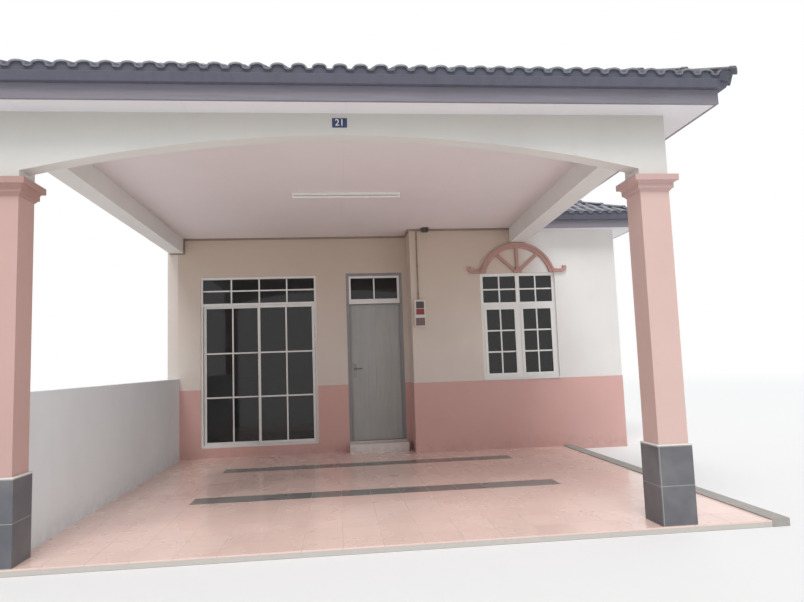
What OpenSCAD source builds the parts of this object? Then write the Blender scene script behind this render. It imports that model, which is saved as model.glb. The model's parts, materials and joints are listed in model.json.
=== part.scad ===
// End unit of a single-storey terrace: a hollow, hip-roofed bungalow with an arched car porch.
// Lengths are millimetres. Set-out lines: x = 0 at the left column's inner face, y = 0 at the
// columns' fronts, z = 0 at the ground. At the end everything moves to the middle of the box.

/* [Porch] */
// Clear width between the two porch columns
porch_span = 4763; // [4000:1:6000]
// Depth from the column fronts to the recessed wall
porch_depth = 5107; // [4600:1:6000]
// Height of the porch floor above the ground
porch_floor_h = 50; // [30:1:120]
// Side of a square column
col_side = 245; // [200:1:320]
// Height of the tiled foot of a column
foot_h = 607; // [400:1:900]
// How far the foot's tiles stand out from the column
foot_proud = 19; // [10:1:30]
// Height of the shaft's top above the porch floor
shaft_top = 2637; // [2400:1:2700]
// Height of a moulded capital
capital_h = 130; // [100:1:180]
// Reach of the capital beyond the column
capital_out = 60; // [50:1:90]
// Thickness of the arched front beam
beam_t = 150; // [120:1:200]
// Height of the arch's springing above the capital
arch_spring = 62; // [20:1:120]
// Rise of the segmental arch
arch_rise = 269; // [150:1:320]
// Width of the left side beam
side_beam_w = 205; // [150:1:240]
// Height of the side beams' undersides above the moulding over the window
beam_over_hood = 6; // [5:1:60]
// Height of the flat eaves above the arch's crown
soffit_over_arch = 177; // [120:1:300]
// Shift of the left side beam's outer face inward from the party line
left_beam_in = 30; // [20:1:150]
// Shift of the right side beam's far end outward, so that it runs a little askew
right_beam_shift = 205; // [0:1:300]
// Thickness of the low wall along the party line
low_wall_t = 100; // [90:1:200]
// Height of the low wall above the porch floor
low_wall_h = 1195; // [900:1:1500]
// Reach of the porch floor beyond the foot of the right column
floor_out = 608; // [0:1:900]
// Width of the kerb at the porch floor's open side
kerb_w = 150; // [50:1:250]
// Height of the kerb above the porch floor
kerb_up = 10; // [5:1:40]
// Width of a dark band of floor tiles, one tile wide
band_w = 300; // [200:1:400]
// Thickness of the floor tiles
tile_t = 10; // [8:1:15]
// Distance of the first dark band from the column fronts
band_first = 1810; // [1200:1:2200]
// Distance of the second dark band from the column fronts
band_second = 3670; // [3000:1:4100]
// Distance of the bands from the left column
band_left = 800; // [300:1:1200]
// Distance of the bands from the right column
band_right = 163; // [100:1:600]

/* [House] */
// Wall thickness
wall_t = 150; // [115:1:200]
// Length of the recessed wall, from the left column's inner face to the return
recess_w = 3420; // [3400:1:3800]
// How far the front room stands forward of the recessed wall
room_step = 507; // [300:1:900]
// How far the front room reaches past the porch's right column
room_out = 1621; // [1200:1:2400]
// Height of the house floor above the porch floor
floor_step = 147; // [100:1:200]
// Height of the painted dado above the porch floor
dado_h = 1018; // [600:1:1025]
// Thickness of the dado's plaster
dado_t = 6; // [4:1:10]
// Height of the ceilings above the flat eaves
ceiling_up = 53; // [20:1:100]
// Thickness of ceiling and eaves boards
board_t = 12; // [9:1:20]
// Width and height of the cover strip round the porch ceiling
cover_w = 28; // [15:1:40]

/* [Roof] */
// Slope of every roof face in degrees
roof_angle = 23.6; // [18:0.1:30]
// Reach of the front and back eaves, to the fascia's face
eave_front = 240; // [200:1:500]
// Reach of the side eaves, to the fascia's face
eave_side = 334; // [250:1:500]
// Height of the fascia board
fascia_h = 200; // [150:1:250]
// Thickness of the fascia board
fascia_t = 25; // [18:1:40]
// Reach of the tiles beyond the fascia
tile_nose = 85; // [30:1:110]
// Thickness of the tiled covering, battens included
cover_t = 80; // [60:1:120]
// Radius of the rounded hip and ridge tiles
cap_r = 105; // [90:1:140]
// Half the width of a hip or ridge tile
cap_half = 75; // [50:1:85]
// Height of a hip or ridge tile's top above the arris it covers
cap_up = 20; // [12:1:40]
// Reach of a hip's lowest tile beyond the tiles' corner, along each eave
hip_end_out = 15; // [0:1:60]

/* [Sliding door] */
// Distance from the left column's inner face to the sliding door's opening
slider_x = 240; // [200:1:400]
// Width of the sliding door's opening
slider_w = 1750; // [1500:1:1900]
// Height of the opening's head above the house floor
slider_h = 2575; // [2350:1:2600]
// Height of the transom's centre line above the house floor
slider_transom = 2158; // [2000:1:2250]
// Depth of the sliding door's outer frame
slider_depth = 100; // [90:1:120]
// Width of the outer frame's members
slider_frame = 30; // [25:1:60]
// Thickness of a sliding leaf
leaf_depth = 30; // [25:1:34]
// Width of a sliding leaf's stiles and rails
leaf_stile = 38; // [33:1:60]
// Overlap of the two sliding leaves
leaf_overlap = 50; // [40:1:60]

/* [Door] */
// Distance from the door's frame to the return wall
door_to_return = 81; // [40:1:200]
// Width of the door's opening
door_w = 882; // [800:1:1000]
// Height of the door opening's head above the house floor
door_h = 2600; // [2450:1:2650]
// Height of the door leaf's top above the house floor
leaf_top = 2118; // [2000:1:2150]
// Width of the door frame's members
door_frame = 45; // [38:1:60]
// Depth of the door frame
door_depth = 110; // [100:1:140]
// Thickness of the door leaf
door_t = 40; // [35:1:45]
// Height of the lever above the house floor
lever_h = 1080; // [900:1:1150]
// Depth of the step in front of the door
step_d = 280; // [200:1:350]

/* [Windows] */
// Distance from the front window to the house's right corner
window_side = 980; // [700:1:1200]
// Width of a window's opening
window_w = 1167; // [1000:1:1300]
// Height of a window's opening
window_h = 1600; // [1450:1:1650]
// Thickness of a window's sill, which lies on the dado's top
sill_t = 15; // [10:1:40]
// Height of a window's lower part, up to the transom's centre line
window_low = 1120; // [1000:1:1200]
// Width of a window frame's members
window_frame_w = 45; // [35:1:60]
// Depth of a window's frame
window_depth = 70; // [60:1:100]
// Width of a casement's members
sash_w = 38; // [30:1:50]
// Thickness of the glass
glass_t = 6; // [5:1:8]

/* [Moulding over the window] */
// Width of the moulding's band
hood_band = 85; // [60:1:110]
// Height of the crown above the window's head
hood_rise = 467; // [420:1:520]
// Reach of the moulding from the wall
hood_out = 45; // [30:1:60]
// Height of the flat eaves above the moulding's crown
soffit_over_hood = 175; // [120:1:300]
// Length of the level feet beyond the arch
hood_foot = 190; // [120:1:220]
// Width of a ray
hood_ray = 45; // [30:1:80]
// Size of the hollow curve between the moulding and each foot
hood_flare = 90; // [60:1:110]

/* [Fittings] */
// Length of the tube lamp on the porch ceiling
tube_len = 1260; // [600:1:1500]
// Distance from the left column to the tube lamp
tube_x = 1820; // [1000:1:2400]
// Distance from the column fronts to the tube lamp's middle
tube_y = 2510; // [1500:1:3500]
// Width of the number plate
plate_w = 115; // [90:1:160]
// Height of the number plate
plate_h = 75; // [60:1:100]
// Distance from the left column to the number plate's middle
plate_x = 2352; // [2200:1:2500]
// Depth of the number plate's middle below the flat eaves
plate_drop = 77; // [60:1:110]
// Radius of the round lamp under the porch ceiling
lamp_r = 52; // [40:1:70]
// Height of the meter box's bottom edge above the porch floor
box_z = 1845; // [1700:1:2000]
// Height of the meter box
box_h = 405; // [300:1:450]
// Width of the meter box
box_w = 165; // [120:1:200]

/* [Hidden] */

// Clearance round a leaf that moves
leaf_gap = 5;
// Running gap at hinge pins, rollers and guides
pin_gap = 0.3;
// Length that surely passes through the whole house
far = 40000;

// Hairline under sloping faces that bear on each other, so that rounding can't make them overlap
hairline = 0.02;

// Levels. The flat eaves clear the taller of the arch and the moulding over the window.
z_porch = porch_floor_h;
z_floor = z_porch + floor_step;
z_shaft = z_porch + shaft_top;
z_beam = z_shaft + capital_h;
z_spring = z_beam + arch_spring;
z_dado = z_porch + dado_h;
z_window = z_dado + sill_t;
z_hood = z_window + window_h + hood_rise;
z_side_beam = z_hood + beam_over_hood;
z_soffit = max(z_spring + arch_rise + soffit_over_arch, z_hood + soffit_over_hood);
z_ceiling = z_soffit + ceiling_up;
z_plate_top = z_ceiling + board_t;
z_fascia = z_soffit + fascia_h;

// Plan lines
x_party = -col_side;
x_right = porch_span;
x_col = porch_span + col_side;
x_return = recess_w;
x_side = x_col + room_out;
y_recess = porch_depth;
y_room = porch_depth - room_step;
x_eave_porch = x_col + eave_side;
x_eave_house = x_side + eave_side;
y_eave_porch = -eave_front;
y_eave_room = y_room - eave_front;
x_inside = x_party + wall_t;
x_low_wall = x_party + (col_side - low_wall_t) / 2;
x_floor = x_col + foot_proud + floor_out;

// The right side beam is as wide as its column and runs from it to the front room's wall
function x_beam(y) = x_col + right_beam_shift * (y - beam_t) / (y_room - beam_t);

// The porch wing and the house have the same half span, so that their ridges are level
half_span = x_eave_porch + tile_nose - x_party;
y_ridge = y_eave_room - tile_nose + half_span;
y_eave_back = y_ridge + half_span - tile_nose;
y_back = y_eave_back - eave_front;
rise = tan(roof_angle);
cover_v = cover_t / cos(roof_angle);

// Lines of the tiles' edges
x_tiles_porch = x_eave_porch + tile_nose;
x_tiles_house = x_eave_house + tile_nose;
y_tiles_porch = y_eave_porch - tile_nose;
y_tiles_room = y_eave_room - tile_nose;
y_tiles_back = y_eave_back + tile_nose;

// A hip's lowest cap ends square to the hip, so its end leans outward past the tiles' corner
hip_tilt = atan(rise / sqrt(2));
cap_edge = cap_up - cap_r + sqrt(pow(cap_r, 2) - pow(cap_half, 2));
cap_reach = hip_end_out + (cap_half + cap_edge * sin(hip_tilt)) / sqrt(2);

// Box of the whole bungalow, whose middle is the origin
x_low = x_party - capital_out;
x_high = x_tiles_house + cap_reach;
y_low = y_tiles_porch - cap_reach;
y_high = y_tiles_back + cap_reach;
x_mid = (x_low + x_high) / 2;
y_mid = (y_low + y_high) / 2;

// Moves what is set out by the plan lines to the origin
module placed() {
    translate([-x_mid, -y_mid, 0]) children();
}

// Block between two opposite corners
module block(low, high) {
    translate(low) cube(high - low);
}

// Extrudes an outline drawn in x and z from one y to another
module across(y0, y1) {
    translate([0, y1, 0]) rotate([90, 0, 0]) linear_extrude(y1 - y0) children();
}

// Extrudes an outline drawn in y and z from one x to another
module along(x0, x1) {
    translate([x0, 0, 0]) rotate([90, 0, 90]) linear_extrude(x1 - x0) children();
}

// One roof face: a plate over its plan outline, sloping up along dir from its fascia line
module slope_face(outline, dir, line) {
    run = half_span + tile_nose;
    profile = [
        [-2 * tile_nose, -2 * tile_nose * rise], [run, run * rise],
        [run, run * rise + cover_v], [-2 * tile_nose, -2 * tile_nose * rise + cover_v]];
    intersection() {
        linear_extrude(far / 2) polygon(outline);
        translate([0, 0, z_fascia])
            if (dir == "back")
                translate([0, line, 0]) along(x_party - 1, x_high + 1) polygon(profile);
            else if (dir == "front")
                translate([0, line, 0]) mirror([0, 1, 0]) along(x_party - 1, x_high + 1)
                    polygon(profile);
            else
                translate([line, 0, 0]) mirror([1, 0, 0]) across(y_low - 1, y_high + 1)
                    polygon(profile);
    }
}

// Rounded cap tiles along an arris, longer by two more lengths, kept within a plan outline. They
// bear on both slopes, which fall away from the arris by fall.
module cap_run(from, to, before, after, outline, fall) {
    wide = 2 * cap_r;
    d = to - from;
    turn = atan2(d[1], d[0]);
    tilt = atan2(d[2], norm([d[0], d[1]]));
    intersection() {
        translate(from) rotate([0, -tilt, turn]) translate([-before, 0, 0]) rotate([90, 0, 90])
            linear_extrude(before + norm(d) + after) difference() {
                intersection() {
                    translate([0, cap_up - cap_r]) circle(cap_r, $fn = 64);
                    translate([-cap_half, -wide]) square([2 * cap_half, 2 * wide]);
                }
                polygon([[0, hairline], [wide, hairline - wide * fall], [wide, -2 * wide],
                    [-wide, -2 * wide], [-wide, hairline - wide * fall]]);
            }
        linear_extrude(far / 2) polygon(outline);
    }
}

// Straight eaves board along x, its outer face at y = 0 and its top bevelled to the slope. A cut
// of 1 mitres an end at an outer corner, -1 at an inner corner, and 0 leaves it square.
module eaves_board(l, cut0, cut1) {
    t = fascia_t;
    intersection() {
        along(-2 * t, l + 2 * t)
            polygon([[0, z_soffit], [t, z_soffit], [t, z_fascia + t * rise], [0, z_fascia]]);
        linear_extrude(2 * z_fascia) polygon([
            [-cut0 * t, -t], [l + cut1 * t, -t], [l - cut1 * 2 * t, 2 * t], [cut0 * 2 * t, 2 * t]]);
    }
}

// Frame round an opening in a wall that faces the front, drawn in x and z
module ring(w, h, member) {
    difference() {
        square([w, h]);
        translate([member, member]) square([w - 2 * member, h - 2 * member]);
    }
}

module porch_floor() {
    color("#d9a88c") placed() difference() {
        linear_extrude(z_porch) polygon([
            [x_party, -foot_proud], [x_floor, -foot_proud], [x_floor, y_room],
            [x_return, y_room], [x_return, y_recess], [x_party, y_recess]]);
        for (y = [band_first, band_second])
            block([band_left, y, z_porch - tile_t],
                [porch_span - band_right, y + band_w, z_porch + 1]);
    }
}

module floor_bands() {
    color("#6d7470") placed()
        for (y = [band_first, band_second])
            block([band_left, y, z_porch - tile_t], [porch_span - band_right, y + band_w, z_porch]);
}

module porch_kerb() {
    color("#a9a9a6") placed() block([x_floor, -foot_proud, 0],
        [x_floor + kerb_w, y_room - dado_t, z_porch + kerb_up]);
}

module house_floor() {
    color("#c9c2b6") placed() linear_extrude(z_floor) polygon([
        [x_inside, y_recess + wall_t], [x_return + wall_t, y_recess + wall_t],
        [x_return + wall_t, y_room + wall_t], [x_side - wall_t, y_room + wall_t],
        [x_side - wall_t, y_back - wall_t], [x_inside, y_back - wall_t]]);
}

module door_step() {
    x1 = x_return - door_to_return;
    color("#e6e4e0") placed()
        block([x1 - door_w, y_recess - dado_t - step_d, z_porch],
            [x1, y_recess - dado_t, z_floor - tile_t]);
}

module low_wall() {
    color("#f0eee8") placed()
        block([x_low_wall, col_side, z_porch],
            [x_low_wall + low_wall_t, y_recess, z_porch + low_wall_h]);
}

// Places the children at both columns, measured from the column's left front corner
module at_columns() {
    for (x = [x_party, x_right]) translate([x, 0, 0]) children();
}

module column_feet() {
    color("#4b4e52") placed() difference() {
        at_columns() difference() {
            block([-foot_proud, -foot_proud, z_porch],
                [col_side + foot_proud, col_side + foot_proud, z_porch + foot_h]);
            block([0, 0, z_porch - 1], [col_side, col_side, z_porch + foot_h + 1]);
        }
        block([x_low_wall, col_side - 1, 0],
            [x_low_wall + low_wall_t, col_side + 2 * foot_proud, 2 * z_porch + foot_h]);
    }
}

module column_shafts() {
    color("#dfa69b") placed() at_columns()
        block([0, 0, z_porch], [col_side, col_side, z_shaft]);
}

// Profile of a capital from the column's middle: neck band, cove, fillet and square abacus
function cove_points(n) = [for (i = [0:n])
    [capital_out * (0.47 + 0.38 * (1 - cos(90 * i / n))),
        capital_h * (0.45 + 0.17 * sin(90 * i / n))]];
module capital_profile() {
    half = col_side / 2;
    side = concat([[0, 0], [0.10 * capital_out, 0.04 * capital_h],
        [0.30 * capital_out, 0.16 * capital_h], [0.47 * capital_out, 0.19 * capital_h]],
        cove_points(4), [[capital_out, 0.63 * capital_h], [capital_out, capital_h]]);
    polygon(concat([for (p = side) [half + p[0], p[1]]],
        [for (i = [len(side) - 1:-1:0]) [-half - side[i][0], side[i][1]]]));
}

module column_capitals() {
    reach = col_side / 2 + capital_out + 1;
    color("#d99c92") placed() at_columns()
        translate([col_side / 2, col_side / 2, z_shaft]) intersection() {
            across(-reach, reach) capital_profile();
            along(-reach, reach) capital_profile();
        }
}

// Arched front beam on both capitals, with a neck behind it on each that carries a side beam. The
// arch is one segment of a circle, in flat facets.
arch_facets = 48;
arch_r = (pow(porch_span / 2, 2) + pow(arch_rise, 2)) / (2 * arch_rise);
arch_half = asin(porch_span / 2 / arch_r);
function arch_point(a) = [porch_span / 2 + arch_r * sin(a), z_spring + arch_rise - arch_r * (1 - cos(a))];
module front_beam() {
    arch = [for (i = [0:arch_facets]) arch_point(arch_half * (2 * i / arch_facets - 1))];
    color("#efece2") placed() {
        across(0, beam_t) polygon(concat([[x_party, z_beam], [0, z_beam]], arch,
            [[porch_span, z_beam], [x_col, z_beam], [x_col, z_plate_top], [x_party, z_plate_top]]));
        at_columns() block([0, beam_t - 1, z_beam], [col_side, col_side, z_side_beam]);
    }
}

module side_beam_left() {
    x0 = x_party + left_beam_in;
    color("#e9e2d2") placed() block([x0, beam_t, z_side_beam],
        [x0 + side_beam_w, y_recess, z_plate_top]);
}

module side_beam_right() {
    color("#e9e2d2") placed() translate([0, 0, z_side_beam])
        linear_extrude(z_plate_top - z_side_beam) polygon([
            [x_right, beam_t], [x_col, beam_t], [x_beam(y_room), y_room],
            [x_beam(y_room) - col_side, y_room]]);
}

module porch_ceiling() {
    x0 = x_party + left_beam_in + side_beam_w;
    color("#ece0da") placed() translate([0, 0, z_ceiling]) linear_extrude(board_t) polygon([
        [x0, beam_t], [x_right, beam_t], [x_beam(y_room) - col_side, y_room],
        [x_return, y_room], [x_return, y_recess], [x0, y_recess]]);
}

// Dark cover strip where the ceiling meets the walls
module ceiling_cover() {
    x0 = x_party + left_beam_in + side_beam_w;
    x1 = x_beam(y_room - cover_w) - col_side;
    z0 = z_ceiling - cover_w;
    color("#5b5450") placed() {
        block([x0, y_recess - cover_w, z0], [x_return - cover_w, y_recess, z_ceiling]);
        block([x_return - cover_w, y_room - cover_w, z0], [x_return, y_recess, z_ceiling]);
        block([x_return, y_room - cover_w, z0], [x1, y_room, z_ceiling]);
    }
}

module front_wall_left() {
    color("#efe6d3") placed()
        block([x_inside, y_recess, z_floor], [slider_x, y_recess + wall_t, z_plate_top]);
}

module front_wall_middle() {
    color("#efe6d3") placed()
        block([slider_x + slider_w, y_recess, z_floor],
            [x_return - door_to_return - door_w, y_recess + wall_t, z_plate_top]);
}

module front_wall_right() {
    color("#efe6d3") placed()
        block([x_return - door_to_return, y_recess, z_floor],
            [x_return, y_recess + wall_t, z_plate_top]);
}

module front_wall_base() {
    color("#dfa69b") placed()
        block([x_inside, y_recess, 0], [x_return, y_recess + wall_t, z_floor]);
}

module lintel_sliding_door() {
    color("#efe6d3") placed()
        block([slider_x, y_recess, z_floor + slider_h],
            [slider_x + slider_w, y_recess + wall_t, z_plate_top]);
}

module lintel_door() {
    x1 = x_return - door_to_return;
    color("#efe6d3") placed()
        block([x1 - door_w, y_recess, z_floor + door_h], [x1, y_recess + wall_t, z_plate_top]);
}

module return_wall() {
    color("#efe6d3") placed()
        block([x_return, y_room + wall_t, 0], [x_return + wall_t, y_recess + wall_t, z_plate_top]);
}

// Window openings: their left edge or front edge along the wall
x_front_window = x_side - window_side - window_w;
y_side_windows = [y_room + (y_back - y_room) * 0.25 - window_w / 2,
    y_room + (y_back - y_room) * 0.72 - window_w / 2];
x_back_windows = [x_inside + (x_side - x_inside) * 0.22 - window_w / 2,
    x_inside + (x_side - x_inside) * 0.75 - window_w / 2];

module room_wall() {
    color("#efe6d3") placed() difference() {
        block([x_return, y_room, 0], [x_side, y_room + wall_t, z_plate_top]);
        block([x_front_window, y_room - 1, z_window],
            [x_front_window + window_w, y_room + wall_t + 1, z_window + window_h]);
    }
}

module side_wall() {
    color("#efe6d3") placed() difference() {
        block([x_side - wall_t, y_room + wall_t, 0], [x_side, y_back - wall_t, z_plate_top]);
        for (y = y_side_windows)
            block([x_side - wall_t - 1, y, z_window],
                [x_side + 1, y + window_w, z_window + window_h]);
    }
}

module back_wall() {
    color("#efe6d3") placed() difference() {
        block([x_inside, y_back - wall_t, 0], [x_side, y_back, z_plate_top]);
        for (x = x_back_windows)
            block([x, y_back - wall_t - 1, z_window],
                [x + window_w, y_back + 1, z_window + window_h]);
    }
}

module party_wall() {
    color("#e4dfd6") placed()
        block([x_party, y_recess, 0], [x_inside, y_back, z_plate_top]);
}

// Plain wall that closes the loft along the party line, cut to the roof's underside
module party_gable() {
    y0 = y_eave_porch + fascia_t;
    y1 = y_eave_back - fascia_t;
    y_peak = (y0 + y1) / 2;
    z_under = z_fascia - hairline;
    color("#e4dfd6") placed() intersection() {
        along(x_party, x_inside) polygon([
            [y0, z_plate_top], [y1, z_plate_top], [y1, z_under + fascia_t * rise],
            [y_peak, z_under + (y_peak - y_eave_porch) * rise],
            [y0, z_under + fascia_t * rise]]);
        across(y0 - 1, y1 + 1) polygon([
            [x_party - 1, 0], [x_inside + 1, 0],
            [x_inside + 1, z_under + (x_eave_porch - x_inside - 1) * rise],
            [x_party - 1, z_under + (x_eave_porch - x_party + 1) * rise]]);
    }
}

// Places a front window's children at each window, drawn in x and z from its lower left corner
module at_windows() {
    translate([x_front_window, y_room, z_window]) children();
    for (y = y_side_windows) translate([x_side, y, z_window]) rotate([0, 0, 90]) children();
    for (x = x_back_windows)
        translate([x + window_w, y_back, z_window]) rotate([0, 0, 180]) children();
}

module dado() {
    x1 = x_return - door_to_return;
    color("#dfa69b") placed() {
        block([x_low_wall + low_wall_t, y_recess - dado_t, z_porch], [slider_x, y_recess, z_dado]);
        block([slider_x, y_recess - dado_t, z_porch], [slider_x + slider_w, y_recess, z_floor]);
        block([slider_x + slider_w, y_recess - dado_t, z_porch], [x1 - door_w, y_recess, z_dado]);
        block([x1, y_recess - dado_t, z_porch], [x_return - dado_t, y_recess, z_dado]);
        block([x_return - dado_t, y_room, z_porch], [x_return, y_recess, z_dado]);
        block([x_return - dado_t, y_room - dado_t, z_porch], [x_floor + kerb_w, y_room, z_dado]);
        block([x_floor + kerb_w, y_room - dado_t, 0], [x_side + dado_t, y_room, z_dado]);
        block([x_side, y_room, 0], [x_side + dado_t, y_back, z_dado]);
        block([x_party, y_back, 0], [x_side + dado_t, y_back + dado_t, z_dado]);
    }
}

module house_ceiling() {
    color("#e8e4dc") placed() translate([0, 0, z_ceiling]) linear_extrude(board_t) polygon([
        [x_inside, y_recess + wall_t], [x_return + wall_t, y_recess + wall_t],
        [x_return + wall_t, y_room + wall_t], [x_side - wall_t, y_room + wall_t],
        [x_side - wall_t, y_back - wall_t], [x_inside, y_back - wall_t]]);
}

// Flat eaves of the porch: front strip and side strip, mitred by their shared edge
module eaves_porch() {
    x1 = x_eave_porch - fascia_t;
    color("#f2efe8") placed() translate([0, 0, z_soffit]) linear_extrude(board_t) difference() {
        translate([x_party, y_eave_porch + fascia_t])
            square([x1 - x_party, y_eave_room - y_eave_porch]);
        polygon([[x_party - 1, 0], [x_col, 0], [x_col, beam_t], [x_beam(y_room), y_room],
            [x_party - 1, y_room]]);
    }
}

module eaves_house() {
    x1 = x_eave_house - fascia_t;
    y0 = y_eave_room + fascia_t;
    y1 = y_eave_back - fascia_t;
    color("#f2efe8") placed() translate([0, 0, z_soffit]) linear_extrude(board_t) difference() {
        translate([x_party, y0]) square([x1 - x_party, y1 - y0]);
        polygon([[x_party - 1, y0 - 1], [x_beam(y0 - 1), y0 - 1], [x_beam(y_room), y_room],
            [x_party - 1, y_room]]);
        translate([x_party - 1, y_room]) square([x_side - x_party + 1, y_back - y_room]);
    }
}

module fascia_porch() {
    color("#5d5257") placed() {
        translate([x_party, y_eave_porch, 0]) eaves_board(x_eave_porch - x_party, 0, 1);
        translate([x_eave_porch, y_eave_porch, 0]) rotate([0, 0, 90])
            eaves_board(y_eave_room - y_eave_porch, 1, -1);
    }
}

module fascia_house() {
    color("#5d5257") placed() {
        translate([x_eave_porch, y_eave_room, 0]) eaves_board(x_eave_house - x_eave_porch, -1, 1);
        translate([x_eave_house, y_eave_room, 0]) rotate([0, 0, 90])
            eaves_board(y_eave_back - y_eave_room, 1, 1);
        translate([x_eave_house, y_eave_back, 0]) rotate([0, 0, 180])
            eaves_board(x_eave_house - x_party, 1, 0);
    }
}

// Roof plan corners: L-shaped eaves with hips, a valley and level ridges
p_front_left = [x_party, y_tiles_porch];
p_porch_corner = [x_tiles_porch, y_tiles_porch];
p_valley_foot = [x_tiles_porch, y_tiles_room];
p_house_corner = [x_tiles_house, y_tiles_room];
p_back_corner = [x_tiles_house, y_tiles_back];
p_back_left = [x_party, y_tiles_back];
p_wing_apex = [x_party, y_tiles_porch + half_span];
p_valley_top = [x_party, y_ridge];
p_house_apex = [x_tiles_house - half_span, y_ridge];

module roof_porch_front() {
    color("#4e3f3e") placed()
        slope_face([p_front_left, p_porch_corner, p_wing_apex], "back", y_eave_porch);
}

module roof_porch_side() {
    color("#4e3f3e") placed()
        slope_face([p_porch_corner, p_valley_foot, p_valley_top, p_wing_apex], "left",
            x_eave_porch);
}

module roof_house_front() {
    color("#4e3f3e") placed()
        slope_face([p_valley_foot, p_house_corner, p_house_apex, p_valley_top], "back",
            y_eave_room);
}

module roof_house_side() {
    color("#4e3f3e") placed()
        slope_face([p_house_corner, p_back_corner, p_house_apex], "left", x_eave_house);
}

module roof_house_back() {
    color("#4e3f3e") placed()
        slope_face([p_back_corner, p_back_left, p_valley_top, p_house_apex], "front",
            y_eave_back);
}

// Point of the roof's top surface over a plan point at a distance in from the tiles' edge
function on_top(p, inward) = [p[0], p[1], z_fascia + cover_v + rise * (inward - tile_nose)];

// One hip's caps, from a square end a little past its eaves corner up to its apex
module hip_cap(corner, apex) {
    out = [sign(corner[0] - apex[0]), sign(corner[1] - apex[1])];
    foot = corner + hip_end_out * out;
    beyond = corner + 2 * cap_reach * out;
    cap_run(on_top(foot, -hip_end_out), on_top(apex, half_span), 0, 2 * cap_r,
        [beyond, [apex[0], beyond[1]], apex, [beyond[0], apex[1]]], sin(hip_tilt));
}

module hip_caps() {
    color("#463837") placed() {
        hip_cap(p_porch_corner, p_wing_apex);
        hip_cap(p_house_corner, p_house_apex);
        hip_cap(p_back_corner, p_house_apex);
    }
}

// Level caps along the party line and along the house, mitred where they meet
module ridge_caps() {
    r = 2 * cap_r;
    color("#463837") placed() {
        cap_run(on_top(p_wing_apex, half_span), on_top(p_valley_top, half_span), r, r,
            [p_wing_apex, p_wing_apex + [r, 0], p_valley_top + [r, -r], p_valley_top], rise);
        cap_run(on_top(p_valley_top, half_span), on_top(p_house_apex, half_span), r, r,
            [p_valley_top, p_valley_top + [r, -r], p_house_apex + [0, -r], p_house_apex + [0, r],
                p_valley_top + [0, r]], rise);
    }
}

// Sliding door, drawn from the lower left corner of its opening at the wall's face
slider_set = 20;
track_in = 15;
leaf_travel_h = slider_transom - slider_frame / 2;
track_h = slider_frame;
leaf_clear_w = slider_w - 2 * slider_frame;
slide_leaf_w = (leaf_clear_w - 2 * leaf_gap + leaf_overlap) / 2;
leaf_bottom = track_h + leaf_gap;
leaf_height = leaf_travel_h - leaf_gap - leaf_bottom;
outer_track = slider_set + track_in;
track_gap = 10;
inner_track = outer_track + leaf_depth + track_gap;
rail_w = 6;
rail_h = 14;
roller_r = 10;
roller_w = 8;

module at_slider() {
    translate([slider_x, y_recess, z_floor]) children();
}

module sliding_frame() {
    color("#f4f4f2") placed() at_slider() {
        across(slider_set, slider_set + slider_depth) difference() {
            square([slider_w, slider_h]);
            translate([slider_frame, track_h])
                square([leaf_clear_w, leaf_travel_h - track_h]);
            translate([slider_frame, slider_transom + slider_frame / 2])
                square([leaf_clear_w, slider_h - slider_transom - 1.5 * slider_frame]);
        }
        for (y = [outer_track, inner_track])
            for (z = [track_h - 1, leaf_travel_h - rail_h])
                block([slider_frame, y + (leaf_depth - rail_w) / 2, z],
                    [slider_w - slider_frame, y + (leaf_depth + rail_w) / 2, z + rail_h + 1]);
    }
}

module sliding_top_glass() {
    y = slider_set + slider_depth / 2;
    color("#39424a", 0.5) placed() at_slider()
        block([slider_frame, y - glass_t / 2, slider_transom + slider_frame / 2],
            [slider_w - slider_frame, y + glass_t / 2, slider_h - slider_frame]);
}

// One leaf with grooves over the rails; its rollers run on the lower rail
module sliding_leaf(x, y) {
    mid = y + leaf_depth / 2;
    groove = rail_w / 2 + leaf_gap;
    color("#f4f4f2") placed() at_slider() translate([x, 0, leaf_bottom]) {
        difference() {
            across(y, y + leaf_depth) ring(slide_leaf_w, leaf_height, leaf_stile);
            for (z = [-1, leaf_height - rail_h])
                block([-1, mid - groove, z], [slide_leaf_w + 1, mid + groove, z + rail_h + 1]);
        }
        for (r = [leaf_stile * 2, slide_leaf_w - leaf_stile * 2])
            translate([r, mid + roller_w / 2, rail_h - leaf_gap + pin_gap + roller_r])
                rotate([90, 0, 0]) cylinder(r = roller_r, h = roller_w, $fn = 32);
    }
}

module sliding_glass(x, y) {
    color("#39424a", 0.5) placed() at_slider() translate([x, 0, leaf_bottom])
        block([leaf_stile, y + (leaf_depth - glass_t) / 2, leaf_stile],
            [slide_leaf_w - leaf_stile, y + (leaf_depth + glass_t) / 2, leaf_height - leaf_stile]);
}

left_leaf_x = slider_frame + leaf_gap;
right_leaf_x = slider_w - slider_frame - leaf_gap - slide_leaf_w;

module sliding_leaf_left() {
    sliding_leaf(left_leaf_x, inner_track);
}

module sliding_leaf_left_glass() {
    sliding_glass(left_leaf_x, inner_track);
}

module sliding_leaf_right() {
    sliding_leaf(right_leaf_x, outer_track);
}

module sliding_leaf_right_glass() {
    sliding_glass(right_leaf_x, outer_track);
}

// Hinged door, drawn from the lower left corner of its opening at the wall's face
door_set = 20;
stop_set = 20;
leaf_y = door_set + door_depth - door_t;
door_leaf_w = door_w - 2 * door_frame - 2 * leaf_gap;
hinge_r = 8;
hinge_pin_r = 4;
hinge_x = door_w - door_frame - leaf_gap / 2;
hinge_y = door_set + door_depth + hinge_r + 1;
hinge_len = 100;
hinge_end = 250;
hinge_heights = [hinge_end, (leaf_top - hinge_len) / 2, leaf_top - hinge_end - hinge_len];

module at_door() {
    translate([x_return - door_to_return - door_w, y_recess, z_floor]) children();
}

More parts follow.
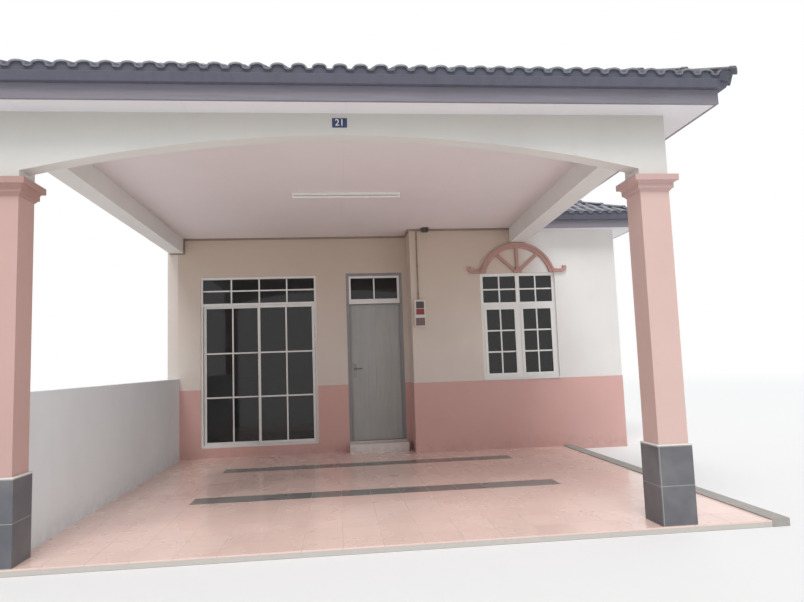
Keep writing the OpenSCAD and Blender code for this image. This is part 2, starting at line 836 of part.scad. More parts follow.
module door_frame_set() {
    stop = 12;
    color("#6f7377") placed() at_door() {
        across(door_set, door_set + door_depth) difference() {
            square([door_w, door_h]);
            translate([door_frame, -1]) square([door_w - 2 * door_frame, leaf_top + 1]);
            translate([door_frame, leaf_top + door_frame])
                square([door_w - 2 * door_frame, door_h - leaf_top - 2 * door_frame]);
        }
        across(door_set + stop_set, leaf_y - leaf_gap) difference() {
            translate([door_frame - 1, 0]) square([door_w - 2 * door_frame + 2, leaf_top + 1]);
            translate([door_frame + stop, -1])
                square([door_w - 2 * (door_frame + stop), leaf_top - stop + 1]);
        }
        for (z = hinge_heights) {
            translate([hinge_x, hinge_y, z]) cylinder(r = hinge_pin_r, h = hinge_len, $fn = 32);
            for (e = [0, hinge_len * 2 / 3]) {
                translate([hinge_x, hinge_y, z + e])
                    cylinder(r = hinge_r, h = hinge_len / 3, $fn = 32);
                block([hinge_x, door_set + door_depth, z + e],
                    [door_w - door_frame / 2, door_set + door_depth + 3, z + e + hinge_len / 3]);
                block([hinge_x - 1, door_set + door_depth + 1, z + e],
                    [hinge_x + hinge_r, hinge_y, z + e + hinge_len / 3]);
            }
        }
    }
}

module door_top_glass() {
    y = door_set + door_depth / 2;
    color("#39424a", 0.5) placed() at_door()
        block([door_frame, y - glass_t / 2, leaf_top + door_frame],
            [door_w - door_frame, y + glass_t / 2, door_h - door_frame]);
}

// Leaf with a sunk centre panel of upright grooves on its outer face
panel_in = 150;
groove_n = 9;
groove_w = 8;
groove_d = 5;
module door_leaf() {
    x0 = door_frame + leaf_gap;
    panel_w = door_leaf_w - 2 * panel_in;
    color("#8d9294") placed() at_door() {
        difference() {
            block([x0, leaf_y, leaf_gap], [x0 + door_leaf_w, leaf_y + door_t, leaf_top - leaf_gap]);
            for (i = [0:groove_n - 1])
                translate([x0 + panel_in + i * (panel_w - groove_w) / (groove_n - 1), 0, 0])
                    block([0, leaf_y - 1, panel_in], [groove_w, leaf_y + groove_d, leaf_top - panel_in]);
        }
        for (z = hinge_heights) {
            third = hinge_len / 3;
            difference() {
                union() {
                    translate([hinge_x, hinge_y, z + third + pin_gap])
                        cylinder(r = hinge_r, h = third - 2 * pin_gap, $fn = 32);
                    block([hinge_x - 3 * hinge_r, leaf_y + door_t - 1, z + third + pin_gap],
                        [hinge_x, leaf_y + door_t + 4, z + 2 * third - pin_gap]);
                }
                translate([hinge_x, hinge_y, z])
                    cylinder(r = hinge_pin_r + pin_gap, h = hinge_len, $fn = 32);
            }
        }
    }
}

// Lever handles on both faces, with their plates
module door_lever() {
    lever_in = 60;
    lever_r = 9;
    lever_len = 125;
    lever_out = 50;
    lever_up = 30;
    back_w = 45;
    back_h = 210;
    back_t = 6;
    x = door_frame + leaf_gap + lever_in;
    color("#b9bcbe") placed() at_door() for (side = [0, 1])
        translate([x, side == 0 ? leaf_y : leaf_y + door_t, lever_h]) mirror([0, side, 0]) {
            translate([-back_w / 2, -back_t, -back_h / 2]) cube([back_w, back_t, back_h]);
            translate([0, 1 - back_t, lever_up]) rotate([90, 0, 0])
                cylinder(r = lever_r, h = lever_out - back_t + 1, $fn = 32);
            translate([-lever_r, -lever_out, lever_up]) rotate([0, 90, 0])
                cylinder(r = lever_r, h = lever_len, $fn = 32);
        }
}

// A window's members, drawn in x and z from its lower left corner at the wall's face
window_set = 30;
mullion_w = 60;
transom_w = 70;
light_w = (window_w - mullion_w) / 2 - window_frame_w;
light_h = window_low - transom_w / 2 - window_frame_w;
module window_frames() {
    color("#f4f4f2") placed() at_windows() across(window_set, window_set + window_depth)
        difference() {
            square([window_w, window_h]);
            for (x = [window_frame_w, (window_w + mullion_w) / 2])
                translate([x, window_frame_w]) square([light_w, light_h]);
            for (x = [window_frame_w, (window_w + mullion_w) / 2])
                translate([x, window_low + transom_w / 2])
                    square([light_w, window_h - window_low - transom_w / 2 - window_frame_w]);
        }
}

// Two casements a window, a little proud of the frame
sash_out = 8;
sash_d = 40;
module window_casements() {
    color("#f6f6f4") placed() at_windows()
        for (x = [window_frame_w, (window_w + mullion_w) / 2])
            translate([x, 0, window_frame_w])
                across(window_set - sash_out, window_set - sash_out + sash_d)
                    ring(light_w, light_h, sash_w);
}

module window_glass() {
    y = window_set + sash_d / 2;
    color("#39424a", 0.5) placed() at_windows() {
        for (x = [window_frame_w, (window_w + mullion_w) / 2]) {
            block([x + sash_w, y - glass_t, window_frame_w + sash_w],
                [x + light_w - sash_w, y, window_frame_w + light_h - sash_w]);
            block([x, y, window_low + transom_w / 2],
                [x + light_w, y + glass_t, window_h - window_frame_w]);
        }
    }
}

module window_sills() {
    sill_side = 20;
    sill_out = 25;
    color("#eeece8") placed() at_windows()
        block([-sill_side, -sill_out, -sill_t], [window_w + sill_side, 0, 0]);
}

// Half-round moulding with level feet, turned-up ends, a hub and three rays
hood_half = window_w / 2;
hood_arc_r = (pow(hood_half, 2) + pow(hood_rise, 2)) / (2 * hood_rise);
module hood_profile() {
    polygon([[hood_arc_r - hood_band, 0], [hood_arc_r, 0], [hood_arc_r, hood_out],
        [hood_arc_r - 0.35 * hood_band, hood_out], [hood_arc_r - 0.45 * hood_band, 0.72 * hood_out],
        [hood_arc_r - 0.85 * hood_band, 0.62 * hood_out], [hood_arc_r - hood_band, 0.45 * hood_out]]);
}

module window_hood() {
    curl_t = 50;
    curl_r = 75;
    hub_r = 65;
    ray_len = hood_arc_r - 0.6 * hood_band;
    foot_out = 0.7 * hood_out;
    flare_x = sqrt(pow(hood_arc_r, 2) - pow(curl_t + hood_flare + hood_arc_r - hood_rise, 2));
    color("#dfa69b") placed()
        translate([x_front_window + hood_half, y_room, z_window + window_h]) rotate([90, 0, 0]) {
            intersection() {
                translate([0, hood_rise - hood_arc_r, 0]) rotate_extrude($fn = 96) hood_profile();
                translate([-window_w, 0, -1]) cube([2 * window_w, 2 * window_w, 2 * hood_out]);
            }
            for (s = [0, 1]) mirror([s, 0, 0]) {
                translate([hood_half - hood_band, 0, 0])
                    cube([hood_band + hood_foot - curl_r, curl_t, foot_out]);
                difference() {
                    translate([flare_x - curl_t / 2, curl_t, 0])
                        cube([hood_flare + curl_t / 2, hood_flare, foot_out]);
                    translate([flare_x + hood_flare, curl_t + hood_flare, -1])
                        cylinder(r = hood_flare, h = 2 * hood_out, $fn = 48);
                }
                translate([hood_half + hood_foot - curl_r, curl_r, 0]) intersection() {
                    difference() {
                        cylinder(r = curl_r, h = foot_out, $fn = 48);
                        translate([0, 0, -1])
                            cylinder(r = curl_r - curl_t, h = hood_out, $fn = 48);
                    }
                    translate([0, -curl_r, 0]) cube([curl_r, 1.3 * curl_r, hood_out]);
                }
            }
            intersection() {
                cylinder(r = hub_r, h = 0.8 * hood_out, $fn = 48);
                translate([-hub_r, 0, 0]) cube([2 * hub_r, hub_r, hood_out]);
            }
            intersection() {
                translate([0, hood_rise - hood_arc_r, 0])
                    cylinder(r = hood_arc_r - hood_band / 2, h = 0.6 * hood_out, $fn = 96);
                for (a = [-48, 0, 48]) rotate([0, 0, a])
                    translate([-hood_ray / 2, 0.5 * hub_r, 0])
                        cube([hood_ray, ray_len + hood_band, 0.6 * hood_out]);
                translate([-window_w, 0, -1]) cube([2 * window_w, window_w, 2 * hood_out]);
            }
        }
}

module number_plate() {
    plate_t = 4;
    z = z_soffit - plate_drop;
    color("#27365c") placed() block([plate_x - plate_w / 2, -plate_t, z - plate_h / 2],
        [plate_x + plate_w / 2, 0, z + plate_h / 2]);
}

// Round lamp on the ceiling near the return's corner
module porch_lamp() {
    rose_h = 12;
    rose_more = 8;
    lamp_h = 60;
    lamp_right = 230;
    lamp_out = 95;
    color("#4a4743") placed() translate([x_return + lamp_right, y_room - lamp_out, z_ceiling]) {
        translate([0, 0, -rose_h]) cylinder(r = lamp_r + rose_more, h = rose_h, $fn = 48);
        translate([0, 0, -lamp_h]) cylinder(r = lamp_r, h = lamp_h - rose_h + 1, $fn = 48);
    }
}

// Slim batten with a round tube under it, on two end holders
module tube_lamp() {
    batten_w = 40;
    batten_h = 28;
    tube_r = 13;
    holder = 20;
    drop = batten_h + tube_r + 4;
    color("#f0efec") placed() translate([tube_x, tube_y, z_ceiling]) {
        block([0, -batten_w / 2, -batten_h], [tube_len, batten_w / 2, 0]);
        translate([holder, 0, -drop]) rotate([0, 90, 0])
            cylinder(r = tube_r, h = tube_len - 2 * holder, $fn = 32);
        for (x = [0, tube_len - holder])
            block([x, -tube_r, -drop - tube_r - 2], [x + holder, tube_r, 1 - batten_h]);
    }
}

module meter_box() {
    box_d = 70;
    box_right = 35;
    x0 = x_return + box_right;
    color("#e7e4df") placed()
        block([x0, y_room - box_d, z_porch + box_z],
            [x0 + box_w, y_room, z_porch + box_z + box_h]);
}

porch_floor();
floor_bands();
porch_kerb();
house_floor();
door_step();
low_wall();
column_feet();
column_shafts();
column_capitals();
front_beam();
side_beam_left();
side_beam_right();
porch_ceiling();
ceiling_cover();
front_wall_left();
front_wall_middle();
front_wall_right();
front_wall_base();
lintel_sliding_door();
lintel_door();
return_wall();
room_wall();
side_wall();
back_wall();
party_wall();
party_gable();
dado();
house_ceiling();
eaves_porch();
eaves_house();
fascia_porch();
fascia_house();
roof_porch_front();
roof_porch_side();
roof_house_front();
roof_house_side();
roof_house_back();
hip_caps();
ridge_caps();
sliding_frame();
sliding_top_glass();
sliding_leaf_left();
sliding_leaf_left_glass();
sliding_leaf_right();
sliding_leaf_right_glass();
door_frame_set();
door_top_glass();
door_leaf();
door_lever();
window_frames();
window_casements();
window_glass();
window_sills();
window_hood();
number_plate();
porch_lamp();
tube_lamp();
meter_box();
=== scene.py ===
# %% [markdown]
# # Dressing the end house of a terrace
# The exact model of this bungalow already holds every wall, beam, door and roof plate at its real
# size. This lesson adds what the eye looks for on top of that: rolled roof tiles, glazing bars,
# paint, plaster, floor tiles and glass. The exact model comes in first and is never moved, so each
# new piece can take its place from the box of the part that carries it.

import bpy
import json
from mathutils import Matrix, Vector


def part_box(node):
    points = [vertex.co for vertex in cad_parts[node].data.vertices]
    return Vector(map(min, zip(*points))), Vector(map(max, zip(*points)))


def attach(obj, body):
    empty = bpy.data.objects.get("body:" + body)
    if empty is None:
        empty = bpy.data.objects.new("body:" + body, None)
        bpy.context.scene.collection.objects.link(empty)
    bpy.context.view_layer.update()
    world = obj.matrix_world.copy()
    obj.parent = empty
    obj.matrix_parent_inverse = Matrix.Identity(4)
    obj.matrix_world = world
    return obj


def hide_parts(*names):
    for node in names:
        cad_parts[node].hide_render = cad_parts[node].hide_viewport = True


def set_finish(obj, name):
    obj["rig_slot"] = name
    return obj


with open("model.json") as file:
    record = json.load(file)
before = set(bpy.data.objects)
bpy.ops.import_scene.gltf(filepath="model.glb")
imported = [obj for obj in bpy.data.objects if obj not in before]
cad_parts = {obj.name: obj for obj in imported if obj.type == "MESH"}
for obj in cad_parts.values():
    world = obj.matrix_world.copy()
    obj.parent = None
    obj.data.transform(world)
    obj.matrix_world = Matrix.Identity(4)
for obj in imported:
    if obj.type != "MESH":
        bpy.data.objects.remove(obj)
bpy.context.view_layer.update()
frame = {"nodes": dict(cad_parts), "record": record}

# %% [markdown]
# ## Lines that everything is set out from
# On a building site, strings are stretched before the first course is laid. Here the strings are
# numbers read from the boxes of the exact parts, so that the lesson follows if the house is changed.

# %% Read the set-out lines
import json
import math

import bmesh
import bpy
import numpy as np
from mathutils import Matrix, Vector


def corners(node):
    """The lowest and the highest corner of one exact part, as two arrays."""
    low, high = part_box(node)
    return np.array(low), np.array(high)


porch_low, porch_high = corners("roof_porch_front")
side_low, side_high = corners("roof_house_side")
x_party = porch_low[0]
x_porch_tiles, x_house_tiles = porch_high[0], side_high[0]
y_porch_tiles, y_room_tiles, y_back_tiles = porch_low[1], side_low[1], side_high[1]
party_front, porch_turn = (x_party, y_porch_tiles), (x_porch_tiles, y_porch_tiles)
valley_turn, house_turn = (x_porch_tiles, y_room_tiles), (x_house_tiles, y_room_tiles)
back_turn, party_back = (x_house_tiles, y_back_tiles), (x_party, y_back_tiles)
half_span = porch_high[1] - porch_low[1]
y_ridge = (y_room_tiles + y_back_tiles) / 2
x_house_apex = side_low[0]

ROOF_ANGLE = math.radians(23.6)
rise = math.tan(ROOF_ANGLE)
z_ridge_top = porch_high[2]
z_nose_top = z_ridge_top - rise * half_span
cover = z_nose_top - porch_low[2]

z_porch = corners("porch_floor")[1][2]
z_soffit = corners("fascia_porch")[0][2]
z_fascia = z_soffit + 0.200
y_room = corners("room_wall")[0][1]
y_back = corners("back_wall")[1][1]
x_side = corners("side_wall")[1][0]
shafts_low, shafts_high = corners("column_shafts")
COLUMN_SIDE = 0.245
x_left_column = shafts_low[0] + COLUMN_SIDE
HAIR = 0.001
print("half span %.3f m, tiles' top at the eaves %.3f m" % (half_span, z_nose_top))

# %% [markdown]
# ## Getting points and faces into a mesh
# Blender can build a mesh from a list of points and a list of faces. Working the points out as
# whole arrays keeps each shape a formula: one line of algebra places thousands of points.
# Three small helpers cover this house: a grid, a row of boxes, and a profile carried along a path.
# One more function makes an object of the points, sets it on its body and names its finish.

# %% Grids and boxes
BOX_CORNERS = np.array([(x, y, z) for z in (0, 1) for y in (0, 1) for x in (0, 1)])
BOX_FACES = np.array([(0, 2, 3, 1), (4, 5, 7, 6), (0, 1, 5, 4),
                      (2, 6, 7, 3), (0, 4, 6, 2), (1, 3, 7, 5)])


def grid_faces(rows, columns):
    """Four-sided faces between neighbours of a grid whose points are numbered row by row."""
    first = (np.arange(rows - 1)[:, None] * columns + np.arange(columns - 1)).ravel()
    return np.column_stack([first, first + 1, first + columns + 1, first + columns])


def boxes(lows, highs):
    """Corner = low + (high - low) * (0 or 1) on each axis, for every box; faces repeat by 8."""
    lows, highs = np.atleast_2d(lows).astype(float), np.atleast_2d(highs).astype(float)
    points = lows[:, None] + (highs - lows)[:, None] * BOX_CORNERS
    faces = BOX_FACES + 8 * np.arange(len(lows))[:, None, None]
    return points.reshape(-1, 3), faces.reshape(-1, 4)


# %% Profiles carried along a path
def tube_faces(rows, columns):
    """Four-sided faces between the rings of a tube, and one flat face over each of its ends."""
    ring = np.arange(columns)
    after = np.roll(ring, -1)
    start = np.arange(rows - 1)[:, None] * columns
    sides = np.stack([start + ring, start + after, start + columns + after, start + columns + ring], -1)
    ends = [ring[::-1].tolist(), (ring + (rows - 1) * columns).tolist()]
    return sides.reshape(-1, 4).tolist() + ends


def carried(profile, path, outward):
    """Point = path point + outward * (profile's reach) + up * (profile's height).

    At a corner, outward is the sum of both sides' directions, which gives a true mitre."""
    profile, path, outward = np.array(profile), np.array(path, float), np.array(outward, float)
    reach, height = profile[:, 0], profile[:, 1]
    points = np.empty((len(path), len(profile), 3))
    points[..., :2] = path[:, None, :2] + outward[:, None] * reach[:, None]
    points[..., 2] = path[:, None, 2] + height
    return points.reshape(-1, 3), tube_faces(*points.shape[:2])


# %% From points to a piece
def put_in_scene(name, data):
    """A new object at the origin that shows the data."""
    item = bpy.data.objects.new(name, data)
    bpy.context.scene.collection.objects.link(item)
    return item


def soften(mesh, angle):
    """Smooth shading, but sharp where faces meet at more than the angle, in degrees."""
    mesh.shade_smooth()
    mesh.set_sharp_from_angle(angle=math.radians(angle))


made = []


def add_piece(name, points, faces, slot, body="house", smooth=None, bevel=None, flip=False):
    """Makes one object at the origin, rides it on its body and names its finish."""
    faces = faces.tolist() if isinstance(faces, np.ndarray) else faces
    if flip:
        faces = [face[::-1] for face in faces]
    mesh = bpy.data.meshes.new(name)
    mesh.from_pydata(np.asarray(points).tolist(), [], faces)
    mesh.validate()
    piece = put_in_scene(name, mesh)
    if smooth is not None:
        soften(mesh, smooth)
    if bevel is not None:
        rounding = piece.modifiers.new("edges", "BEVEL")
        rounding.width, rounding.segments, rounding.limit_method = bevel, 2, "ANGLE"
    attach(piece, body)
    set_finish(piece, slot)
    made.append(name)
    print(name, len(mesh.vertices), "points")
    return piece


# %% [markdown]
# ## Rolled roof tiles
# A rolled tile is a shallow pan with a round roll on one side, laid in courses: each tile's lower
# edge lies on the course below, so the surface climbs in small steps. One could copy a single tile
# a thousand times. Here one sheet a roof face is enough, because its height is a formula of two
# distances, along the eaves and up the slope. The hips and the valley are then cut with planes.
# The rolls' tops keep to the top plane of the exact roof plate, which the hip caps rest on.

# %% A sheet of rolled tiles
TILE_PITCH = 0.150
ROLL_WIDTH = 0.112
ROLL_HEIGHT = 0.038
COURSE = 0.320
COURSE_STEP = 0.020
TILE_THICKNESS = 0.013
RISER = 0.002
ROLL_STEPS = 8
ROLL_FULLNESS = 0.85
PAN_SAG = 0.003
MAP_NUDGE = 0.003
GAUGE = COURSE * math.cos(ROOF_ANGLE)
TILE_DEPTH = TILE_THICKNESS / math.cos(ROOF_ANGLE)
ROLL_OVER_ALL = ROLL_HEIGHT + COURSE_STEP


def roll_outline():
    """Half a sine wave over the roll's width, with a shallow sag in the pan beside it."""
    turn = np.linspace(0, math.pi, ROLL_STEPS + 1)
    across = ROLL_WIDTH * (1 - np.cos(turn)) / 2
    height = ROLL_HEIGHT * np.sin(turn) ** ROLL_FULLNESS
    sag = (ROLL_WIDTH + TILE_PITCH) / 2
    return np.append(across, sag), np.append(height, -PAN_SAG)


def tile_sheet(length, start, stop):
    """Grid over u along the eaves and d inward: z = top plane - height over all + roll(u) + step(d).

    The step falls evenly from a course's lower edge to nothing at its upper edge."""
    across, height = roll_outline()
    first, last = math.floor(start / TILE_PITCH), math.ceil(stop / TILE_PITCH)
    rolls = np.arange(first, last)[:, None]
    u = (rolls * TILE_PITCH + across).ravel()
    roll = np.broadcast_to(height, (last - first, len(height))).ravel()
    courses = math.ceil(length / GAUGE)
    edge = np.arange(courses)[:, None] * GAUGE
    d = np.minimum((edge + np.array([0, GAUGE - RISER])).ravel(), length)
    step = np.tile([COURSE_STEP, 0.0], courses)
    grid_u, grid_d = np.meshgrid(u, d)
    z = z_nose_top + rise * grid_d - ROLL_OVER_ALL + roll[None] + step[:, None]
    return grid_u, grid_d, z


# %% A sheet cut to its roof face
def cut_back(shell, foot, away):
    """Takes away what lies beyond an upright plane, and gives back what the cut leaves on it."""
    everything = shell.verts[:] + shell.edges[:] + shell.faces[:]
    return bmesh.ops.bisect_plane(shell, geom=everything, dist=1e-5, clear_outer=True,
                                  plane_co=(*foot, 0), plane_no=(*away, 0))["geom_cut"]


def roof_face(name, origin, along, inward, span, cuts, replaced):
    """Places a sheet by corner + u * along + d * inward, and cuts it at its hips and valley.

    A cut is (u at the eaves, lean, side): what lies beyond u = u0 + lean * d is taken away. The
    map counts tiles and courses; a nudge keeps each course's lower edge from the count before."""
    origin, along, inward = np.array(origin), np.array(along, float), np.array(inward, float)
    grid_u, grid_d, z = tile_sheet(half_span, *span)
    points = np.empty(grid_u.shape + (3,))
    points[..., :2] = origin + grid_u[..., None] * along + grid_d[..., None] * inward
    points[..., 2] = z
    rows, columns = grid_u.shape
    piece = add_piece(name, points.reshape(-1, 3), grid_faces(rows, columns), "roof_tile")
    tile_places = np.stack([grid_u / TILE_PITCH, grid_d / GAUGE + MAP_NUDGE], -1)
    loops = np.empty(len(piece.data.loops), np.int32)
    piece.data.loops.foreach_get("vertex_index", loops)
    places = piece.data.uv_layers.new(name="tiles")
    places.data.foreach_set("uv", tile_places.reshape(-1, 2)[loops].ravel())
    shell = bmesh.new()
    shell.from_mesh(piece.data)
    for u0, lean, side in cuts:
        cut_back(shell, origin + u0 * along, side * (along - lean * inward))
    shell.to_mesh(piece.data)
    shell.free()
    soften(piece.data, 38)
    wall = piece.modifiers.new("tile thickness", "SOLIDIFY")
    wall.thickness, wall.offset = TILE_THICKNESS, -1
    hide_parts(replaced)
    print("   faces after the cuts:", len(piece.data.polygons))


# %% The five roof faces
RIGHT, LEFT, BACK, FRONT = (1, 0), (-1, 0), (0, 1), (0, -1)
HALF_GUTTER = 0.055
porch_run = y_room_tiles - y_porch_tiles
house_run = x_house_tiles - x_porch_tiles
side_run = y_back_tiles - y_room_tiles
back_run = x_house_tiles - x_party

roof_face("tiles_porch_front", party_front, RIGHT, BACK, (0, half_span),
          [(0, 0, -1), (half_span, -1, 1)], "roof_porch_front")
roof_face("tiles_porch_side", porch_turn, BACK, LEFT, (0, porch_run + half_span),
          [(0, 1, -1), (porch_run - HALF_GUTTER, 1, 1)], "roof_porch_side")
roof_face("tiles_house_front", valley_turn, RIGHT, BACK, (-half_span, house_run),
          [(HALF_GUTTER, -1, -1), (house_run, -1, 1)], "roof_house_front")
roof_face("tiles_house_side", house_turn, BACK, LEFT, (0, side_run),
          [(0, 1, -1), (side_run, -1, 1)], "roof_house_side")
roof_face("tiles_house_back", back_turn, LEFT, FRONT, (0, back_run),
          [(0, 1, -1), (back_run, 0, 1)], "roof_house_back")

# %% [markdown]
# ## Boards under the tiles
# Under the tiles lie battens and boards, and at the eaves a fillet lifts the first course and
# closes the gap over the fascia. Nobody sees the boards, but they stop light, so each roof face
# gets one thin closed board. The fillet is one profile carried round the whole eaves with mitres.

# %% Roof boards
TILE_NOSE = 0.085
BACK_OFF = TILE_NOSE - 0.005
BOARD_TOP = ROLL_OVER_ALL + TILE_DEPTH + 0.003


def sloping_board(name, corner_points, line, inward):
    """A closed slab over a plan outline: z = tiles' top plane at that point - a fixed depth."""
    outline = np.array(corner_points, float)
    depth_in = (outline - np.array(line)) @ np.array(inward, float)
    plane = z_nose_top + rise * depth_in
    low = np.column_stack([outline, plane - cover + HAIR])
    high = np.column_stack([outline, plane - BOARD_TOP])
    add_piece(name, np.vstack([low, high]), tube_faces(2, len(outline)), "fascia_paint")


apex_wing = (x_party, y_porch_tiles + half_span)
valley_top = (x_party, y_ridge)
apex_house = (x_house_apex, y_ridge)
porch_corner = (x_porch_tiles - BACK_OFF, y_porch_tiles + BACK_OFF)
valley_foot = (x_porch_tiles - BACK_OFF, y_room_tiles + BACK_OFF)
house_corner = (x_house_tiles - BACK_OFF, y_room_tiles + BACK_OFF)
back_corner = (x_house_tiles - BACK_OFF, y_back_tiles - BACK_OFF)
front_left, back_left = (x_party, y_porch_tiles + BACK_OFF), (x_party, y_back_tiles - BACK_OFF)
sloping_board("boards_porch_front", [front_left, porch_corner, apex_wing], porch_turn, BACK)
sloping_board("boards_porch_side", [porch_corner, valley_foot, valley_top, apex_wing], porch_turn, LEFT)
sloping_board("boards_house_front", [valley_foot, house_corner, apex_house, valley_top], house_turn, BACK)
sloping_board("boards_house_side", [house_corner, back_corner, apex_house], house_turn, LEFT)
sloping_board("boards_house_back", [back_corner, back_left, valley_top, apex_house], back_turn, FRONT)

# %% Eaves fillet
eaves_path = np.array([party_front, porch_turn, valley_turn, house_turn, back_turn, party_back])
eaves_outward = [(0, -1), (1, -1), (1, -1), (1, -1), (1, 1), (0, 1)]
fillet_shape = np.array([(0, -0.085), (0.045, -0.085), (0.072, -0.022), (0, 0.009)])
fillet_profile = fillet_shape + (-TILE_NOSE, z_fascia)
points, faces = carried(fillet_profile, np.column_stack([eaves_path, np.zeros(6)]), eaves_outward)
add_piece("eaves_fillet", points, faces, "fascia_paint", bevel=0.003, flip=True)

# %% [markdown]
# ## Hip and ridge caps in mortar
# Rounded caps cover the hips and ridges. Each is a little narrower at its upper end, so that
# the next one laps over it, and each has a raised collar at its lower end. A cap is a ring of
# points, an outer arc and an inner arc back, carried through four stations. All caps of one line
# are worked out at once, by giving the arrays one more axis for the cap's number. The caps lie
# in mortar: a bar under each line fills the pans beside it. Where lines meet, upright planes cut
# both to a clean mitre.

# %% Sizes of the caps
CAP_RADIUS = 0.105
CAP_UP = 0.020
CAP_HALF = 0.075
CAP_WALL = 0.018
CAP_GAUGE = 0.360
CAP_LAP = 0.050
CAP_NARROW = 0.020
COLLAR = 0.006
COLLAR_LENGTH = 0.036
COLLAR_STEP = 0.004
HIP_END_OUT = 0.015
ARC_STEPS = 12
EDGE_ANGLE = math.acos(CAP_HALF / CAP_RADIUS)


# %% A line of caps
def directions(start, end):
    """Length, axis, side and upward normal of a line: side = axis x up, over = side x axis."""
    run = np.array(end) - np.array(start)
    length = np.linalg.norm(run)
    axis = run / length
    side = np.cross(axis, (0, 0, 1))
    side /= np.linalg.norm(side)
    return length, axis, side, np.cross(side, axis)


def cap_line(start, end, whole=True):
    """Caps on an arris: point = axis(s) + radius(s) * (side * cos a + over * sin a).

    The axis lies a cap's radius under the caps' tops. The arc starts at EDGE_ANGLE and ends there
    on the other side, or at the top where the party wall cuts the caps in half."""
    length, axis, side, over = directions(start, end)
    count = round(length / CAP_GAUGE)
    gauge = length / count
    stations = np.array([0, COLLAR_LENGTH, COLLAR_LENGTH + COLLAR_STEP, gauge + CAP_LAP])
    outer = CAP_RADIUS - np.array([0, 0, COLLAR, CAP_NARROW])
    inner = CAP_RADIUS - CAP_WALL - np.array([0, 0, COLLAR / 2, CAP_NARROW])
    last = math.pi - EDGE_ANGLE if whole else math.pi / 2
    turn = np.linspace(EDGE_ANGLE, last, ARC_STEPS + 1)
    ring = np.concatenate([turn, turn[::-1]])
    is_outer = np.arange(len(ring)) <= ARC_STEPS
    radius = np.where(is_outer, outer[:, None], inner[:, None])
    along = np.arange(count)[:, None] * gauge + stations
    along = np.minimum(along, length + 0.001 * stations)
    centre = start - over * (CAP_RADIUS - CAP_UP) + along[..., None] * axis
    spoke = np.cos(ring)[:, None] * side + np.sin(ring)[:, None] * over
    points = centre[:, :, None] + radius[None, :, :, None] * spoke
    return points, cap_faces(*points.shape[:3])


def cap_faces(count, rows, columns):
    """The faces of each cap's tube, with a strip of four-sided faces over both of its ends."""
    ring = np.arange(columns)
    after = np.roll(ring, -1)
    start = np.arange(rows - 1)[:, None] * columns
    walls = np.stack([start + ring, start + columns + ring, start + columns + after, start + after], -1)
    half = columns // 2
    arc = np.arange(half - 1)
    near = np.stack([arc, arc + 1, columns - 2 - arc, columns - 1 - arc], -1)
    far = near[:, ::-1] + (rows - 1) * columns
    one = np.vstack([walls.reshape(-1, 4), near, far])
    return (one + (rows * columns) * np.arange(count)[:, None, None]).reshape(-1, 4).tolist()


# %% The mortar under a line of caps
MORTAR_INSET = 0.030
MORTAR_SHAPE = np.array([(0.066, -0.110), (0.066, -0.034), (0, -0.020), (-0.066, -0.034), (-0.066, -0.110)])


def mortar_bar(start, end, whole=True):
    """Point = end of the line + reach * side + height * over, from a five-sided profile."""
    _, axis, side, over = directions(start, end)
    shape = MORTAR_SHAPE if whole else np.vstack([MORTAR_SHAPE[:3], (0, -0.110)])
    ends = np.array([start + axis * MORTAR_INSET, end])
    points = ends[:, None] + shape[:, :1] * side + shape[:, 1:] * over
    return points, [face[::-1] for face in tube_faces(2, len(shape))]


# %% Shapes with mitred ends
def add_mitred(name, slot, shapes):
    """Cuts each closed shape with its own upright planes, closes the cuts and joins the shapes."""
    whole = bmesh.new()
    for points, faces, planes in shapes:
        rough = bpy.data.meshes.new("rough")
        rough.from_pydata(points.reshape(-1, 3).tolist(), [], faces)
        line = bmesh.new()
        line.from_mesh(rough)
        for plane in planes:
            rim = [part for part in cut_back(line, *plane) if isinstance(part, bmesh.types.BMEdge)]
            bmesh.ops.holes_fill(line, edges=rim, sides=0)
        line.to_mesh(rough)
        line.free()
        whole.from_mesh(rough)
        bpy.data.meshes.remove(rough)
    piece = add_piece(name, [], [], slot)
    whole.to_mesh(piece.data)
    whole.free()
    soften(piece.data, 40)
    print("   faces after the cuts:", len(piece.data.polygons))
    return piece


# %% Caps along the hips and ridges
def top_plane(x, y, inward):
    """A point on the tiles' top plane, at a plan distance in from the tiles' edge."""
    return np.array([x, y, z_nose_top + rise * inward])


out = HIP_END_OUT
wing_top, valley_end = top_plane(*apex_wing, half_span), top_plane(*valley_top, half_span)
house_top = top_plane(*apex_house, half_span)
party_cut = (apex_wing, LEFT)
hip_lines = [
    (top_plane(x_porch_tiles + out, y_porch_tiles - out, -out), wing_top, True,
     [party_cut, (apex_wing, BACK)]),
    (top_plane(x_house_tiles + out, y_room_tiles - out, -out), house_top, True,
     [(apex_house, LEFT), (apex_house, BACK)]),
    (top_plane(x_house_tiles + out, y_back_tiles + out, -out), house_top, True,
     [(apex_house, LEFT), (apex_house, FRONT)])]
ridge_lines = [(wing_top, valley_end, False, [party_cut, (valley_top, (1, 1))]),
               (valley_end, house_top, True, [party_cut, (valley_top, (-1, -1))])]
for name, replaced, lines in (("hip_cap_tiles", "hip_caps", hip_lines),
                              ("ridge_cap_tiles", "ridge_caps", ridge_lines)):
    caps = add_mitred(name, "cap_tile", [(*cap_line(*line), planes) for *line, planes in lines])
    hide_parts(replaced)
add_mitred("cap_mortar", "concrete",
           [(*mortar_bar(*line), planes) for *line, planes in hip_lines + ridge_lines])

# %% [markdown]
# ## Mortar under the first course
# At the eaves the rolls would be open holes for birds and rain, so they are filled with mortar
# a little behind the tiles' lower edge. The filling has four edges: two inside the fillet and two
# that follow the tiles' underside, so it is a tube whose ring changes along the eaves.

